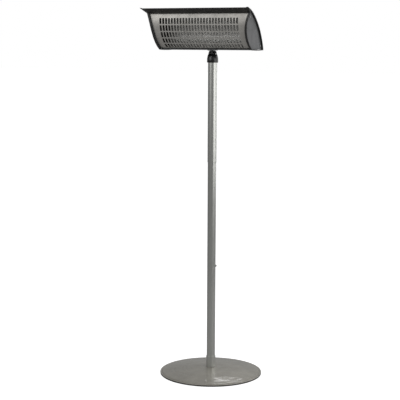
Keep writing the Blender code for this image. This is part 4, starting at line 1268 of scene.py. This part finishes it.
def floor():
    """Pale seamless floor."""
    size = 60.0
    plane = mesh_object("studio_floor", [(-size, -size, 0.0), (size, -size, 0.0),
                                         (size, size, 0.0), (-size, size, 0.0)], [(0, 1, 2, 3)])
    look = Look("studio_floor")
    look.set(Base_Color=look.cloud(0.37, 0.41, 2.0, 2.0), Roughness=0.9)
    plain = look.shader.outputs["BSDF"]
    glow = look.add("ShaderNodeEmission", {"Strength": 0.93})["Emission"]
    lit = look.add("ShaderNodeAddShader", {0: plain, 1: glow})["Shader"]
    split_by_camera(look.material.node_tree, plain, lit,
                    look.nodes["Material Output"].inputs["Surface"])
    plane.data.materials.append(look.material)


def soft_light(name, place, target, width, height, radiance):
    """Rectangular soft box of a given brightness, aimed at a height on the pole's axis."""
    light = bpy.data.lights.new(name, "AREA")
    light.shape = "RECTANGLE"
    light.size = width
    light.size_y = height
    light.energy = radiance * math.pi * width * height
    obj = linked(name, light)
    obj.location = place
    aim = Vector((0.0, 0.0, target)) - Vector(place)
    obj.rotation_euler = aim.to_track_quat("-Z", "Y").to_euler()
    return obj


def studio():
    """White background, dim surroundings, and soft boxes right, behind, left and above."""
    world = bpy.data.worlds.new("studio")
    bpy.context.scene.world = world
    world.use_nodes = True
    nodes = world.node_tree.nodes
    surroundings = nodes["Background"]
    surroundings.inputs["Color"].default_value = (0.98, 0.99, 1.0, 1.0)
    surroundings.inputs["Strength"].default_value = 0.32
    backdrop = nodes.new("ShaderNodeBackground")
    backdrop.inputs["Color"].default_value = (1.0, 1.0, 1.0, 1.0)
    split_by_camera(world.node_tree, surroundings.outputs["Background"],
                    backdrop.outputs["Background"], nodes["World Output"].inputs["Surface"])
    soft_light("key_box", around(60.0, 2.6, 2.05), 1.5, 3.0, 2.6, radiance=1.5)
    soft_light("rear_box", around(120.0, 3.0, 1.8), 1.3, 2.0, 2.4, radiance=1.3)
    soft_light("fill_box", around(-50.0, 3.0, 2.6), 1.6, 2.2, 1.6, radiance=2.0)
    streak = soft_light("streak_box", around(168.0, 6.0, 3.9), 0.0, 2.8, 0.16, radiance=9.0)
    streak.visible_camera = False
    soft_light("top_box", (0.0, -0.3, 4.2), 0.0, 2.6, 2.6, radiance=0.95)
    bpy.context.scene.view_settings.view_transform = "Standard"


def camera():
    """Camera at the standing viewer's place."""
    pose = Matrix.Rotation(math.radians(CAMERA_TURN), 4, "Z")
    pose @= Matrix.Translation((0.0, -CAMERA_DISTANCE, CAMERA_HEIGHT))
    for angle, axis in ((-CAMERA_PAN, "Z"), (90.0 - CAMERA_DOWN, "X"), (CAMERA_ROLL, "Z")):
        pose @= Matrix.Rotation(math.radians(angle), 4, axis)
    data = bpy.data.cameras.new("camera")
    data.sensor_width = 36.0
    data.lens = LENS
    obj = linked("camera", data)
    obj.matrix_world = pose
    bpy.context.scene.camera = obj


base_cover()
rubber_feet()
pole()
pole_cap()
tilt_lug()
pivot()
hood_and_visor()
head_ends()
front_grille()
reflector()
lamps()
cable_gland()
switch_housing()
carried_over()
floor()
studio()
camera()
